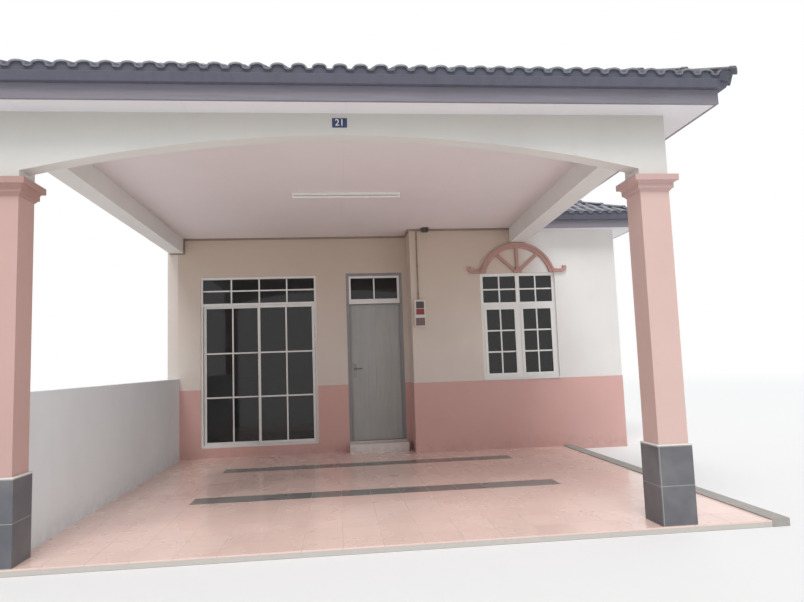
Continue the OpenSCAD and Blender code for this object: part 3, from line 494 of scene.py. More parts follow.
# %% Mortar that closes the rolls at the eaves
STOP_IN = np.array([0.018, 0.018, 0.055, 0.055])
STOP_FOOT = z_fascia - 0.030


def eaves_stop(origin, along, inward, start, stop):
    """Ring for each u: low = inside the fillet, high = tiles' nose + slope * reach - tile's depth."""
    along, inward = np.array(along, float), np.array(inward, float)
    grid_u, _, z = tile_sheet(COURSE, start, stop)
    u = grid_u[0]
    nose = z[0] - TILE_DEPTH
    slope = rise - COURSE_STEP / GAUGE
    points = np.empty((len(u), 4, 3))
    points[..., :2] = origin + u[:, None, None] * along + STOP_IN[:, None] * inward
    points[..., 2] = np.where([False, True, True, False], nose[:, None] + slope * STOP_IN, STOP_FOOT)
    return points, [face[::-1] for face in tube_faces(len(u), 4)]


eaves_runs = [
    (party_front, RIGHT, BACK, 0, half_span, [(party_front, LEFT), (porch_turn, (1, 1))]),
    (porch_turn, BACK, LEFT, 0, porch_run, [(porch_turn, (-1, -1)), (valley_turn, (1, 1))]),
    (valley_turn, RIGHT, BACK, 0, house_run, [(valley_turn, (-1, -1)), (house_turn, (1, 1))]),
    (house_turn, BACK, LEFT, 0, side_run, [(house_turn, (-1, -1)), (back_turn, (-1, 1))]),
    (back_turn, LEFT, FRONT, 0, back_run, [(back_turn, (1, -1)), (party_back, LEFT)])]
add_mitred("eaves_mortar", "concrete", [(*eaves_stop(*run), planes) for *run, planes in eaves_runs])

# %% [markdown]
# ## The valley gutter
# Where two slopes meet in a valley, the tiles stop short of each other and a metal gutter lies
# between them. It is a shallow V that follows both slopes: three lines of points are enough.

# %% Valley gutter
GUTTER_HALF = 0.130
GUTTER_DEPTH = BOARD_TOP - 0.004
inward = np.array([0.0, half_span])[:, None] + np.zeros(3)
across = np.array([-GUTTER_HALF, 0.0, GUTTER_HALF])
gutter = np.empty((2, 3, 3))
gutter[..., 0] = x_porch_tiles - inward + np.maximum(across, 0)
gutter[..., 1] = y_room_tiles + inward + np.minimum(across, 0)
gutter[..., 2] = z_nose_top + rise * inward - GUTTER_DEPTH
valley = add_piece("valley_gutter", gutter.reshape(-1, 3), grid_faces(2, 3), "fascia_paint")
sheet = valley.modifiers.new("sheet", "SOLIDIFY")
sheet.thickness, sheet.offset = 0.002, 1

# %% [markdown]
# ## Glazing bars
# Thin bars divide the panes. They are part of the aluminium frames, so they stand a few
# millimetres proud of the glass on both sides. Each bar is a box whose edges a Bevel modifier
# rounds. Bars on a leaf that slides ride with that leaf.

# %% Bars over a pane
BAR = 0.022
BAR_PROUD = 0.006


def bars_over(glass_low, glass_high, upright_shares, level_heights):
    """Boxes over one pane: uprights at shares of its width, level bars at given heights."""
    wide = glass_high[0] - glass_low[0]
    front, rear = glass_low[1] - BAR_PROUD, glass_high[1] + BAR_PROUD
    lows, highs = [], []
    for share in upright_shares:
        x = glass_low[0] + share * wide
        lows.append((x - BAR / 2, front, glass_low[2]))
        highs.append((x + BAR / 2, rear, glass_high[2]))
    for z in level_heights:
        lows.append((glass_low[0], front + 0.0005, z - BAR / 2))
        highs.append((glass_high[0], rear - 0.0005, z + BAR / 2))
    return np.array(lows), np.array(highs)


# %% Bars on the sliding door and the door's top light
LEAF_BARS, TOP_BAR = (z_porch + 0.888, z_porch + 1.557), z_porch + 2.516
for hand in ("left", "right"):
    lows, highs = bars_over(*corners("sliding_leaf_%s_glass" % hand), (0.5,), LEAF_BARS)
    add_piece("leaf_bars_" + hand, *boxes(lows, highs), "white_aluminium",
              body="sliding_" + hand, bevel=0.0015)

lows, highs = bars_over(*corners("sliding_top_glass"), (0.25, 0.5, 0.75), (TOP_BAR,))
add_piece("sliding_top_bars", *boxes(lows, highs), "white_aluminium", bevel=0.0015)
lows, highs = bars_over(*corners("door_top_glass"), (0.5,), ())
add_piece("door_top_bar", *boxes(lows, highs), "white_aluminium", bevel=0.0015)


# %% Sash and cover of the door's top light
def frame_round(low, high, member):
    """Four boxes inside a rectangle seen from the front: two uprights, and two rails between them."""
    left, front, bottom = low
    right, rear, top = high
    lows = [(left, front, bottom), (right - member, front, bottom),
            (left + member, front, bottom), (left + member, front, top - member)]
    highs = [(left + member, rear, top), (right, rear, top),
             (right - member, rear, bottom + member), (right - member, rear, top)]
    return boxes(lows, highs)


FRAME_FACE = 0.020
TRANSOM_HEIGHT = 0.045
LIGHT_SASH = 0.030
SASH_IN = 0.004
SASH_REAR = 0.014
COVER_PROUD = 0.006
y_recess = corners("front_wall_left")[0][1]
light_low, light_high = corners("door_top_glass")
sash_low = (light_low[0], y_recess + FRAME_FACE + SASH_IN, light_low[2])
sash_high = (light_high[0], light_high[1] + SASH_REAR, light_high[2])
add_piece("door_top_sash", *frame_round(sash_low, sash_high, LIGHT_SASH), "white_aluminium", bevel=0.002)
cover_low = (light_low[0], y_recess + FRAME_FACE - COVER_PROUD, light_low[2] - TRANSOM_HEIGHT)
cover_high = (light_high[0], y_recess + FRAME_FACE + HAIR, light_low[2])
add_piece("door_transom_cover", *boxes(cover_low, cover_high), "white_aluminium", bevel=0.002)

# %% [markdown]
# ## Bars on the windows
# The five windows are alike, so their bars are worked out once, in a window's own x, y and z,
# and then turned and moved to each window. The turning is a small matrix product.

# %% Places of the windows
WINDOW_WIDTH, WINDOW_HEIGHT = 1.167, 1.600
WINDOW_LOW, TRANSOM, MULLION = 1.120, 0.070, 0.060
MEMBER, SASH, WALL = 0.045, 0.038, 0.150
PANE_FRONT, PANE = 0.044, 0.006
SIDE_WINDOWS, BACK_WINDOWS = (0.25, 0.72), (0.22, 0.75)
hood_low, hood_high = corners("window_hood")
sills_top = corners("window_sills")[1][2]
x_front_window = (hood_low[0] + hood_high[0]) / 2 - WINDOW_WIDTH / 2
x_inside = x_party + WALL


def between(low, high, share):
    """Where a window starts when its middle is at a share of the wall's length."""
    return low + (high - low) * share - WINDOW_WIDTH / 2


window_places = [((x_front_window, y_room), 0)]
window_places += [((x_side, between(y_room, y_back, share)), 90) for share in SIDE_WINDOWS]
window_places += [((between(x_inside, x_side, share) + WINDOW_WIDTH, y_back), 180)
                  for share in BACK_WINDOWS]

print(len(window_places), "windows")

# %% Bars on the windows
light_width = (WINDOW_WIDTH - MULLION) / 2 - MEMBER
pane_low_z, pane_high_z = MEMBER + SASH, WINDOW_LOW - TRANSOM / 2 - SASH
step = (pane_high_z - pane_low_z) / 3
window_bars = []
for left in (MEMBER, (WINDOW_WIDTH + MULLION) / 2):
    low = (left + SASH, PANE_FRONT, pane_low_z)
    high = (left + light_width - SASH, PANE_FRONT + PANE, pane_high_z)
    window_bars.append(bars_over(low, high, (0.5,), (pane_low_z + step, pane_low_z + 2 * step)))
    low = (left, PANE_FRONT + PANE, WINDOW_LOW + TRANSOM / 2)
    high = (left + light_width, PANE_FRONT + 2 * PANE, WINDOW_HEIGHT - MEMBER)
    window_bars.append(bars_over(low, high, (0.5,), ((low[2] + high[2]) / 2,)))
window_points, window_faces = boxes(*(np.vstack(part) for part in zip(*window_bars)))


def at_window(points, place, turn):
    """Turns points about z by a whole number of degrees, then moves them to a window."""
    angle = math.radians(turn)
    cos, sin = math.cos(angle), math.sin(angle)
    spin = np.array([[cos, -sin, 0], [sin, cos, 0], [0, 0, 1]])
    return points @ spin.T + np.array([*place, sills_top])


for number, (place, turn) in enumerate(window_places, 1):
    add_piece("window_bars_%d" % number, at_window(window_points, place, turn), window_faces,
              "white_aluminium", bevel=0.0015)

# %% [markdown]
# ## Small fittings
# A thin conduit runs down from the porch ceiling to the meter box, held by clips. The box has a
# dark window, a red flap and a lower cover. A bead tops each column's tiled foot, dark strips
# frame the end of the left beam, and a threshold closes the gap between the step and the door.
# The number plate carries two plain digits. Most of these are boxes with rounded edges, set by
# the boxes of the exact parts; the conduit is a ring carried upwards, and the digits start as text.

# %% Conduit and clips
CONDUIT_RADIUS = 0.010
CLIP_SPACING = 0.35
CLIP_HALF_WIDTH, CLIP_REACH, CLIP_HALF_HEIGHT = 0.018, 0.0235, 0.006
box_low, box_high = corners("meter_box")
ceiling_z = corners("porch_ceiling")[0][2]
COVER_STRIP = 0.028
conduit_x = (box_low[0] + box_high[0]) / 2 - 0.012
conduit_y = y_room - CONDUIT_RADIUS - HAIR


def upright_tube(x, y, low, high, radius, sides=20):
    """Ring = centre + radius * (cos a, sin a), at a low and at a high level, with flat ends."""
    turn = np.linspace(0, 2 * math.pi, sides, endpoint=False)
    ring = np.column_stack([x + radius * np.cos(turn), y + radius * np.sin(turn)])
    points = np.vstack([np.column_stack([ring, np.full(sides, z)]) for z in (low, high)])
    return points, tube_faces(2, sides)


conduit_top = ceiling_z - COVER_STRIP
add_piece("conduit", *upright_tube(conduit_x, conduit_y, box_high[2], conduit_top, CONDUIT_RADIUS),
          "cover_strip", smooth=40)
clip_count = round((ceiling_z - box_high[2]) / CLIP_SPACING)
clip_z = np.linspace(box_high[2] + 0.10, ceiling_z - 0.15, clip_count)
clip_middles = np.column_stack([np.full(clip_count, conduit_x), np.full(clip_count, y_room), clip_z])
clip_lows = clip_middles - (CLIP_HALF_WIDTH, CLIP_REACH, CLIP_HALF_HEIGHT)
clip_highs = clip_middles + (CLIP_HALF_WIDTH, 0.0, CLIP_HALF_HEIGHT)
add_piece("conduit_clips", *boxes(clip_lows, clip_highs), "cover_strip", bevel=0.004)

# %% Covers of the meter box
box_width, box_height = box_high[0] - box_low[0], box_high[2] - box_low[2]


def on_box(low_share, high_share, z_low_share, z_high_share, proud):
    """A plate on the box's face, placed by shares of the face's width and height."""
    low = (box_low[0] + low_share * box_width, box_low[1] - proud, box_low[2] + z_low_share * box_height)
    high = (box_low[0] + high_share * box_width, box_low[1] + 0.002, box_low[2] + z_high_share * box_height)
    return boxes(low, high)


add_piece("meter_rim", *on_box(0.06, 0.94, 0.42, 0.97, 0.006), "box_plastic", bevel=0.003)
add_piece("meter_window", *on_box(0.14, 0.86, 0.68, 0.93, 0.010), "lamp_body", bevel=0.002)
add_piece("meter_flap", *on_box(0.14, 0.86, 0.45, 0.66, 0.014), "box_plastic", bevel=0.003)
add_piece("meter_cover", *on_box(0.10, 0.90, 0.05, 0.33, 0.012), "box_plastic", bevel=0.003)

# %% Beads on the column feet and strips round the left beam
BEAD_HEIGHT = 0.012
BEAD_REACH = 0.022
foot_top = corners("column_feet")[1][2]


def bead_round(x0, y0, x1, y1, low, high):
    """Four boxes round a square column: two over its full width, and two between them."""
    e = BEAD_REACH
    lows = [(x0 - e, y0 - e, low), (x0 - e, y1, low), (x0 - e, y0, low), (x1, y0, low)]
    highs = [(x1 + e, y0, high), (x1 + e, y1 + e, high), (x0, y1, high), (x1 + e, y1, high)]
    return lows, highs


beads = [bead_round(x, shafts_low[1], x + COLUMN_SIDE, shafts_low[1] + COLUMN_SIDE,
                    foot_top, foot_top + BEAD_HEIGHT)
         for x in (shafts_low[0], shafts_high[0] - COLUMN_SIDE)]
add_piece("foot_beads", *boxes(*(np.vstack(part) for part in zip(*beads))), "beam_paint", bevel=0.003)

STRIP = 0.020
left_beam_low, left_beam_high = corners("side_beam_left")
strip_y = y_recess - STRIP
strip_low = left_beam_low[2] - STRIP
strip_lows = [(left_beam_high[0], strip_y, strip_low), (left_beam_low[0], strip_y, strip_low)]
strip_highs = [(left_beam_high[0] + STRIP, y_recess, ceiling_z - COVER_STRIP),
               (left_beam_high[0], y_recess, left_beam_low[2])]
add_piece("beam_end_strips", *boxes(strip_lows, strip_highs), "cover_strip", bevel=0.002)

# %% Threshold under the hinged door
step_low, step_high = corners("door_step")
floor_level = corners("door_frame_set")[0][2]
threshold_low = (step_low[0] + 0.002, step_high[1] - 0.006, step_high[2] - 0.002)
threshold_high = (step_high[0] - 0.002, y_recess + FRAME_FACE - HAIR, floor_level + 0.002)
add_piece("door_threshold", *boxes(threshold_low, threshold_high), "white_render", bevel=0.002)

# %% Digits on the number plate
plate_low, plate_high = corners("number_plate")
DIGIT_HEIGHT = 0.052
DIGIT_THICKNESS = 0.0015
DIGIT_SHARE = 0.7
lettering = bpy.data.curves.new("digits", "FONT")
lettering.body = "21"
lettering.size = DIGIT_HEIGHT / DIGIT_SHARE
lettering.align_x, lettering.align_y = "CENTER", "CENTER"
lettering.extrude = DIGIT_THICKNESS / 2
writer = put_in_scene("digit_shapes", lettering)
bpy.context.view_layer.update()
digit_mesh = bpy.data.meshes.new_from_object(writer)
bpy.data.objects.remove(writer)
plate_middle = (plate_low + plate_high) / 2
upright = Matrix.Translation((plate_middle[0], plate_low[1] - DIGIT_THICKNESS / 2, plate_middle[2]))
digit_mesh.transform(upright @ Matrix.Rotation(math.pi / 2, 4, "X"))
digits = put_in_scene("plate_digits", digit_mesh)
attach(digits, "house")
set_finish(digits, "lamp_white")
made.append("plate_digits")

# %% [markdown]
# ## A small language for finishes
# Linking shader nodes by hand hides the idea behind them. The classes below let a finish be written
# as sums: an output can be added, multiplied or compared, and each sign adds one Math node.
# Colours never pass through Math nodes, which would turn them grey, but through Mix nodes.

# %% Calculating with shader outputs
def sign(operation, turned=False):
    """A method that adds one Math node; turned where the output stands on the sign's right."""
    def method(self, *others):
        values = (*others, self) if turned else (self, *others)
        return self.owner.node("ShaderNodeMath", {"operation": operation}, dict(enumerate(values)))
    return method


class Output:
    """One output of a shader node, which can be calculated with."""

    __add__, __radd__ = sign("ADD"), sign("ADD", turned=True)
    __sub__, __rsub__ = sign("SUBTRACT"), sign("SUBTRACT", turned=True)
    __mul__, __rmul__ = sign("MULTIPLY"), sign("MULTIPLY", turned=True)
    __truediv__ = sign("DIVIDE")
    floor, fraction, size = sign("FLOOR"), sign("FRACT"), sign("ABSOLUTE")
    lesser, greater = sign("MINIMUM"), sign("MAXIMUM")

    def __init__(self, owner, socket):
        self.owner, self.socket = owner, socket

    def rise(self, low, high):
        """0 below low and 1 above high, with a soft step between."""
        return self.owner.node("ShaderNodeMapRange", {"interpolation_type": "SMOOTHSTEP"},
                               {0: self, 1: low, 2: high, 3: 0.0, 4: 1.0})


# %% Nodes by kind, settings and inputs
class Nodes:
    """The nodes of one material or of the sky, and the place that they are asked about."""

    def __init__(self, tree):
        self.tree = tree
        self.place = self.node("ShaderNodeTexCoord", output="Object")

    def node(self, kind, settings=None, inputs=None, output=0):
        """Adds a node of a kind, with its settings first and then its sockets' values or links."""
        added = self.tree.nodes.new(kind)
        for name, value in (settings or {}).items():
            setattr(added, name, value)
        for key, value in (inputs or {}).items():
            if isinstance(value, Output):
                self.tree.links.new(value.socket, added.inputs[key])
            else:
                added.inputs[key].default_value = value
        return Output(self, added.outputs[output])

    def axes(self, vector=None):
        """The x, y and z of a vector, the object's own place unless another is given."""
        split = self.node("ShaderNodeSeparateXYZ", inputs={0: vector or self.place})
        owner = split.socket.node
        return [Output(self, owner.outputs[i]) for i in range(3)]

    def stretched(self, x, y, z):
        """The object's place, scaled along each axis."""
        return self.node("ShaderNodeVectorMath", {"operation": "MULTIPLY"}, {0: self.place, 1: (x, y, z)})

    def noise(self, scale, detail=3.0, rough=0.55, vector=None):
        """Cloudy noise about 0.5; scale is the number of clouds in a metre."""
        return self.node("ShaderNodeTexNoise", inputs={
            "Vector": vector or self.place, "Scale": scale, "Detail": detail, "Roughness": rough})

    def chance(self, x, y, z=0.0):
        """One random number from 0 to 1 for each whole-numbered place."""
        spot = self.node("ShaderNodeCombineXYZ", inputs={0: x, 1: y, 2: z})
        return self.node("ShaderNodeTexWhiteNoise", {"noise_dimensions": "3D"}, {"Vector": spot})

    def mix(self, share, first, second):
        """First colour where share is 0 and second where it is 1."""
        return self.node("ShaderNodeMix", {"data_type": "RGBA"},
                         {0: share, 6: first, 7: second}, output=2)

    def bump(self, height, depth, strength=1.0):
        """Lights the surface as if it rose by height times depth, in metres."""
        return self.node("ShaderNodeBump", inputs={
            "Strength": strength, "Distance": depth, "Height": height})


# %% One finish and its paint
class Finish(Nodes):
    """One material: its shader and the nodes that feed it."""

    def __init__(self, name, roughness=0.6, metallic=0.0, coat=0.0):
        self.material = bpy.data.materials.new(name)
        self.material.use_nodes = True
        super().__init__(self.material.node_tree)
        self.shader = self.tree.nodes["Principled BSDF"]
        self.shader.inputs["Roughness"].default_value = roughness
        self.shader.inputs["Metallic"].default_value = metallic
        self.shader.inputs["Coat Weight"].default_value = coat

    def feed(self, **links):
        """Links outputs to the shader's sockets: base_color, roughness, alpha, normal and so on."""
        for name, value in links.items():
            self.tree.links.new(value.socket, self.shader.inputs[name.replace("_", " ").title()])
        return self.material


def paint(red, green, blue):
    """A colour as a paint chart gives it, from 0 to 255, made linear for the renderer."""
    chart = np.array([red, green, blue]) / 255
    linear = np.where(chart <= 0.04045, chart / 12.92, ((chart + 0.055) / 1.055) ** 2.4)
    return (*linear.tolist(), 1.0)


finishes = {}

# %% [markdown]
# ## Painted plaster
# Most of the house is plaster, trowelled and painted. Close up it has a fine grain and a slow
# wave left by the float; from afar the paint is a little uneven, streaked by rain where it hangs
# outside and soiled near the ground. Four noises of different sizes make this from one colour.
#
# Painted shade darkens the beams and the walls inside the porch to grey or brown towards the
# ceiling, and the walls inside the porch have a darker cream than those outside, as painted shade
# under the porch roof. The front room's wall stands half in and half out, the left column and
# capital are painted darker than the right ones as painted shade, and the columns lighter than
# the dado as painted light, so a plaster may have a second colour up to a line.

# %% One painted plaster
SOIL, SOIL_HEIGHT = paint(128, 112, 94), 0.26
SHADE = 0.84


def dimmed(colour, share):
    """The same colour with less light, for a shade of it."""
    return tuple(c * share for c in colour[:3]) + (1.0,)


def plaster(name, colour, soil=0.18, streak=0.10, roughness=0.72, painted_shade=None, second=None):
    """Tone = cloudy patches and upright streaks; soil gathers in the lowest quarter metre.

    A second colour may be given, with an axis, a place on it up to which it shows, and the width
    of the change. The painted shade is a share, a depth and a colour: a darkening that stands in
    for the shade under the flat eaves and grows over that depth below them, only on the second
    colour's side where there is one."""
    skin = Finish(name, roughness)
    x, y, z = skin.axes()
    cloud = skin.noise(0.8, detail=4.0)
    grain = skin.noise(140.0, detail=2.0)
    wave = skin.noise(5.0, detail=2.0)
    rain = skin.noise(1.0, detail=3.0, vector=skin.stretched(9.0, 9.0, 0.35))
    darker = dimmed(colour, SHADE)
    painted_shade_side = 1.0
    if second is not None:
        other, axis, edge, width = second
        beyond = ((x, y, z)[axis] - edge).rise(0.001, width)
        painted_shade_side = 1 - beyond
        darker = skin.mix(beyond, dimmed(other, SHADE), darker)
        colour = skin.mix(beyond, other, colour)
    tone = skin.mix(cloud.rise(0.35, 0.75) * 0.45, colour, darker)
    tone = skin.mix(rain.rise(0.52, 0.80) * streak, tone, darker)
    low = (1 - (z - z_porch).rise(0.0, SOIL_HEIGHT)) * skin.noise(11.0).rise(0.30, 0.72)
    tone = skin.mix(low * soil, tone, SOIL)
    # Painted shade: the tone darkens towards the flat eaves, where the porch roof shades it.
    if painted_shade is not None:
        share, depth, shade_tone = painted_shade
        tone = skin.mix((z - z_soffit).rise(-depth, 0.02) * (painted_shade_side * share), tone, shade_tone)
    height = grain * 0.35 + wave * 0.65
    gloss = roughness - 0.08 + cloud * 0.16
    return skin.feed(base_color=tone, roughness=gloss, normal=skin.bump(height, 0.0035, 0.6))


# %% Plaster finishes
SHARP, SOFT = 0.003, 0.6
# Painted shade: the porch's cream is the wall cream painted darker for the shade under the porch roof; the
# party wall's painted end takes it too.
PORCH_SHADE_CREAM, WALL_CREAM = paint(223, 214, 205), paint(228, 226, 223)
# Painted shade: the porch's walls and the beams darken over these depths below the flat eaves.
WALL_PAINTED_SHADE = (0.6, 2.4, paint(184, 158, 136))
BEAM_PAINTED_SHADE = (0.45, 0.30, paint(150, 140, 127))
finishes["salmon_paint"] = plaster("salmon paint on plaster", paint(215, 173, 166))
finishes["cream_paint"] = plaster("wall cream paint", WALL_CREAM, soil=0.10)
finishes["beam_paint"] = plaster("off-white paint with painted shade under the eaves", paint(225, 223, 218), soil=0.0,
                                 painted_shade=BEAM_PAINTED_SHADE)
finishes["white_render"] = plaster("white paint on plaster", paint(230, 236, 239), soil=0.12)
finishes["party_render"] = plaster("plain render", paint(198, 193, 184), soil=0.30, streak=0.25)
finishes["screed"] = plaster("smooth cement floor", paint(176, 170, 160), soil=0.0, roughness=0.5)
finishes["concrete"] = plaster("rough concrete", paint(168, 166, 162), soil=0.2, streak=0.3, roughness=0.85)
between_columns, x_shade_edge = (shafts_low[0] + shafts_high[0]) / 2, shafts_high[0] - 0.1
# Painted light and shade: the columns' salmon is lighter than the dado's as painted light, and the left
# column and capital are painted darker than the right ones as painted shade. The capitals' paint is darker
# than the shafts'.
column_paint = plaster("salmon paint with painted light and shade", paint(218, 187, 179), soil=0.05,
                       second=(paint(204, 169, 161), 0, between_columns, SHARP))
capital_paint = plaster("rain-streaked salmon paint with painted shade", paint(203, 170, 165), soil=0.0, streak=0.5,
                        second=(paint(184, 148, 140), 0, between_columns, SHARP))
hood_paint = plaster("darker salmon paint", paint(180, 140, 131), soil=0.0)
step_paint = plaster("trodden white paint", paint(226, 221, 218), soil=0.25)
party_paint = plaster("render with a painted end", paint(198, 193, 184), soil=0.30, streak=0.25,
                      second=(PORCH_SHADE_CREAM, 1, y_recess, SHARP))
porch_wall_paint = plaster("porch cream paint with painted shade", PORCH_SHADE_CREAM, soil=0.10, painted_shade=WALL_PAINTED_SHADE)
# Painted shade: the room's wall has the porch's darker cream and its painted shade up to a line by the right
# column, where the porch roof stops shading it.
room_wall_paint = plaster("room cream paint with painted shade", WALL_CREAM, soil=0.10,
                          painted_shade=WALL_PAINTED_SHADE, second=(PORCH_SHADE_CREAM, 0, x_shade_edge, SOFT))
print(len(finishes), "plaster finishes, and shades of them")

# %% [markdown]
# ## Boards over the porch
# The ceiling and the flat eaves are painted cement boards: smooth, with fine joints where two
# boards meet. A joint is found by arithmetic: the fraction of x over the board's width is near
# nought or near one only at a joint.

# %% Board finishes
def joint_mask(value, pitch, start, width):
    """1 on a joint and 0 elsewhere: distance = pitch * min(f, 1 - f), f = fraction((v - start) / pitch)."""
    part = ((value - start) / pitch).fraction()
    return 1 - (part.lesser(1 - part) * pitch).rise(width * 0.5, width * 0.5 + 0.0015)


def boards(name, colour, joint_shade, pitch_x=1.2, pitch_y=2.4):
    """Flat paint, with joints as thin lines that are a little darker and sunk."""
    skin = Finish(name, 0.66)
    x, y, _ = skin.axes()
    joint = joint_mask(x, pitch_x, x_left_column, 0.003)
    joint = joint.greater(joint_mask(y, pitch_y, y_porch_tiles, 0.003))
    cloud = skin.noise(0.7, detail=3.0)
    shade = dimmed(colour, joint_shade)
    soft = dimmed(colour, 0.92)
    tone = skin.mix(cloud.rise(0.35, 0.8) * 0.6, colour, soft)
    tone = skin.mix(joint, tone, shade)
    fine = skin.noise(70.0, detail=2.0)
    relief = skin.bump(fine * 0.15 - joint, 0.0015, 0.5)
    return skin.feed(base_color=tone, roughness=0.58 + cloud * 0.14, normal=relief)


finishes["ceiling_board"] = boards("painted ceiling board", paint(231, 222, 222), 0.93)
finishes["eaves_board"] = boards("painted eaves board", paint(232, 230, 233), 0.90, 1.2, 1.2)

# %% [markdown]
# ## Floor and wall tiles
# Glazed tiles differ a little from one to the next and have a narrow cement joint. The same
# arithmetic that finds the joints also numbers the tiles, and the number picks each tile's tone.

# %% One tiled surface
FLOOR_PITCH_X = 0.300
bands_low, bands_high = corners("floor_bands")
BAND_WIDTH = 0.300
FLOOR_PITCH_Y = (bands_high[1] - BAND_WIDTH - bands_low[1]) / 6


def tiled(name, colour, joint_colour, spread, roughness, pitch, start, axes_used,
          joint_width=0.004, coat=0.0):
    """Tile number = floor((place - start) / pitch) on two axes; its chance moves the tone by spread.

    Under the tiles' own thickness the bare cement edge of the slab shows."""
    skin = Finish(name, roughness, coat=coat)
    place = skin.axes()
    first, second = place[axes_used[0]], place[axes_used[1]]
    numbers = [((v - s) / p).floor() for v, s, p in zip((first, second), start, pitch)]
    own = skin.chance(*numbers)
    joint = joint_mask(first, pitch[0], start[0], joint_width).greater(
        joint_mask(second, pitch[1], start[1], joint_width))
    vein = skin.noise(9.0, detail=5.0, rough=0.65)
    darker = dimmed(colour, 1 - spread)
    tone = skin.mix(own * 0.7 + vein.rise(0.35, 0.75) * 0.3, colour, darker)
    tone = skin.mix(joint, tone, joint_colour)
    dust = skin.noise(1.3, detail=4.0).rise(0.42, 0.78)
    tone = skin.mix(dust * 0.22, tone, paint(214, 206, 198))
    tone = skin.mix((place[2] - z_porch).rise(-0.0125, -0.0115), paint(196, 190, 184), tone)
    gloss = joint * 0.45 + dust * 0.22 + roughness
    return skin.feed(base_color=tone, roughness=gloss, normal=skin.bump(vein * 0.05 - joint, 0.0012, 0.7))


# %% Floor and foot tiles
floor_start = (bands_low[0], bands_low[1])
floor_pitch = (FLOOR_PITCH_X, FLOOR_PITCH_Y)
feet_low = corners("column_feet")[0]
column_gap = shafts_high[0] - COLUMN_SIDE - shafts_low[0]
finishes["floor_tile"] = tiled("salmon floor tile", paint(240, 210, 199), paint(210, 185, 174), 0.08, 0.24,
                               floor_pitch, floor_start, (0, 1), coat=0.15)
finishes["dark_tile"] = tiled("dark floor tile", paint(124, 124, 122), paint(146, 142, 136), 0.18, 0.26,
                              floor_pitch, floor_start, (0, 1), coat=0.15)
finishes["foot_tile"] = tiled("slate-like wall tile", paint(104, 105, 112), paint(150, 148, 144), 0.35, 0.42,
                              (column_gap, 0.300), (feet_low[0] + 0.012, z_porch + 0.003), (0, 2),
                              joint_width=0.005)
print("floor tiles %.3f x %.3f m" % floor_pitch)

# %% [markdown]
# ## Roof tiles and caps
# The tiles are dark and weathered. Each has its own tone, the pans are darker, the rolls are
# lighter as wear and as painted highlight, the lower edges are rubbed lighter, and a few patches
# are bleached pale. The sheets carry a map that counts tiles along the eaves and courses up the
# slope, which tells the shader where on a tile it is.

# %% Roof tile finish
def roof_tiles(name, colour, worn, pale):
    """Tone by tile number; light at the lower edge of a course, lighter on the rolls as wear and painted
    highlight, dark in the pans.
    """
    skin = Finish(name, 0.78)
    counted = skin.node("ShaderNodeUVMap", {"uv_map": "tiles"})
    u, v, _ = skin.axes(counted)
    own = skin.chance((u - 0.83).floor(), v.floor())
    on_roll = 1 - ((u.fraction() - 0.333) * 3.0).size().rise(0.25, 1.05)
    up_course = v.fraction()
    edge = 1 - up_course.rise(0.02, 0.10)
    weather = skin.noise(1.1, detail=5.0, rough=0.6)
    speck = skin.noise(34.0, detail=3.0, rough=0.7)
    spots = skin.noise(6.5, detail=4.0, rough=0.65).rise(0.60, 0.74)
    darker = dimmed(colour, 0.60)
    tone = skin.mix(own * 0.6 + weather.rise(0.3, 0.8) * 0.4, colour, darker)
    # Wear and painted highlight: the rolls' tops are lighter.
    tone = skin.mix(on_roll * weather.rise(0.25, 0.6) * 0.6, tone, worn)
    tone = skin.mix(edge * 0.35, tone, worn)
    tone = skin.mix((1 - on_roll) * 0.35, tone, darker)
    tone = skin.mix(spots * 0.32, tone, pale)
    tone = skin.mix(speck.rise(0.45, 0.8) * 0.35, tone, darker)
    relief = skin.bump(speck * 0.6 + weather * 0.4, 0.004, 0.7)
    return skin.feed(base_color=tone, roughness=0.70 + speck * 0.2, normal=relief)


# %% Cap tile finish
def cap_tiles(name, colour, worn, pale):
    """The same weathered tile, without a map: noises alone change its tone."""
    skin = Finish(name, 0.78)
    weather = skin.noise(2.4, detail=5.0, rough=0.6)
    speck = skin.noise(34.0, detail=3.0, rough=0.7)
    spots = skin.noise(7.0, detail=4.0, rough=0.65).rise(0.58, 0.72)
    darker = dimmed(colour, 0.55)
    tone = skin.mix(weather.rise(0.3, 0.75), worn, darker)
    tone = skin.mix(0.5, tone, colour)
    tone = skin.mix(spots * 0.3, tone, pale)
    tone = skin.mix(speck.rise(0.45, 0.8) * 0.35, tone, darker)
    rough = 0.70 + speck * 0.2
    return skin.feed(base_color=tone, roughness=rough, normal=skin.bump(speck, 0.004, 0.6))


finishes["roof_tile"] = roof_tiles("weathered roof tile", paint(114, 114, 126), paint(182, 184, 190),
                                   paint(186, 186, 182))
finishes["cap_tile"] = cap_tiles("weathered cap tile", paint(114, 114, 122), paint(164, 164, 168),
                                 paint(170, 169, 166))

# %% [markdown]
# ## Painted wood and metal, plastic and glass
# These are smooth, so their life is in the gloss: brush marks along a board, the orange-peel of
# powder coat, a faint haze on glass. Glass is dark here because the rooms behind it are unlit.

# %% One coated surface
def coated(name, colour, roughness, brushed=(14.0, 14.0, 2.0), uneven=0.12, metallic=0.0, coat=0.0,
           depth=0.0008):
    """Noise stretched along the board or bar changes tone and gloss; a fine one dents the coat."""
    skin = Finish(name, roughness, metallic, coat)
    strokes = skin.noise(1.0, detail=4.0, vector=skin.stretched(*brushed))
    peel = skin.noise(180.0, detail=1.0)
    cloud = skin.noise(1.6, detail=3.0)
    darker = dimmed(colour, 1 - uneven)
    tone = skin.mix(strokes.rise(0.3, 0.75) * 0.6 + cloud.rise(0.4, 0.8) * 0.4, colour, darker)
    relief = skin.bump(strokes * 0.6 + peel * 0.4, depth, 0.5)
    return skin.feed(base_color=tone, roughness=roughness - 0.05 + strokes * 0.10, normal=relief)


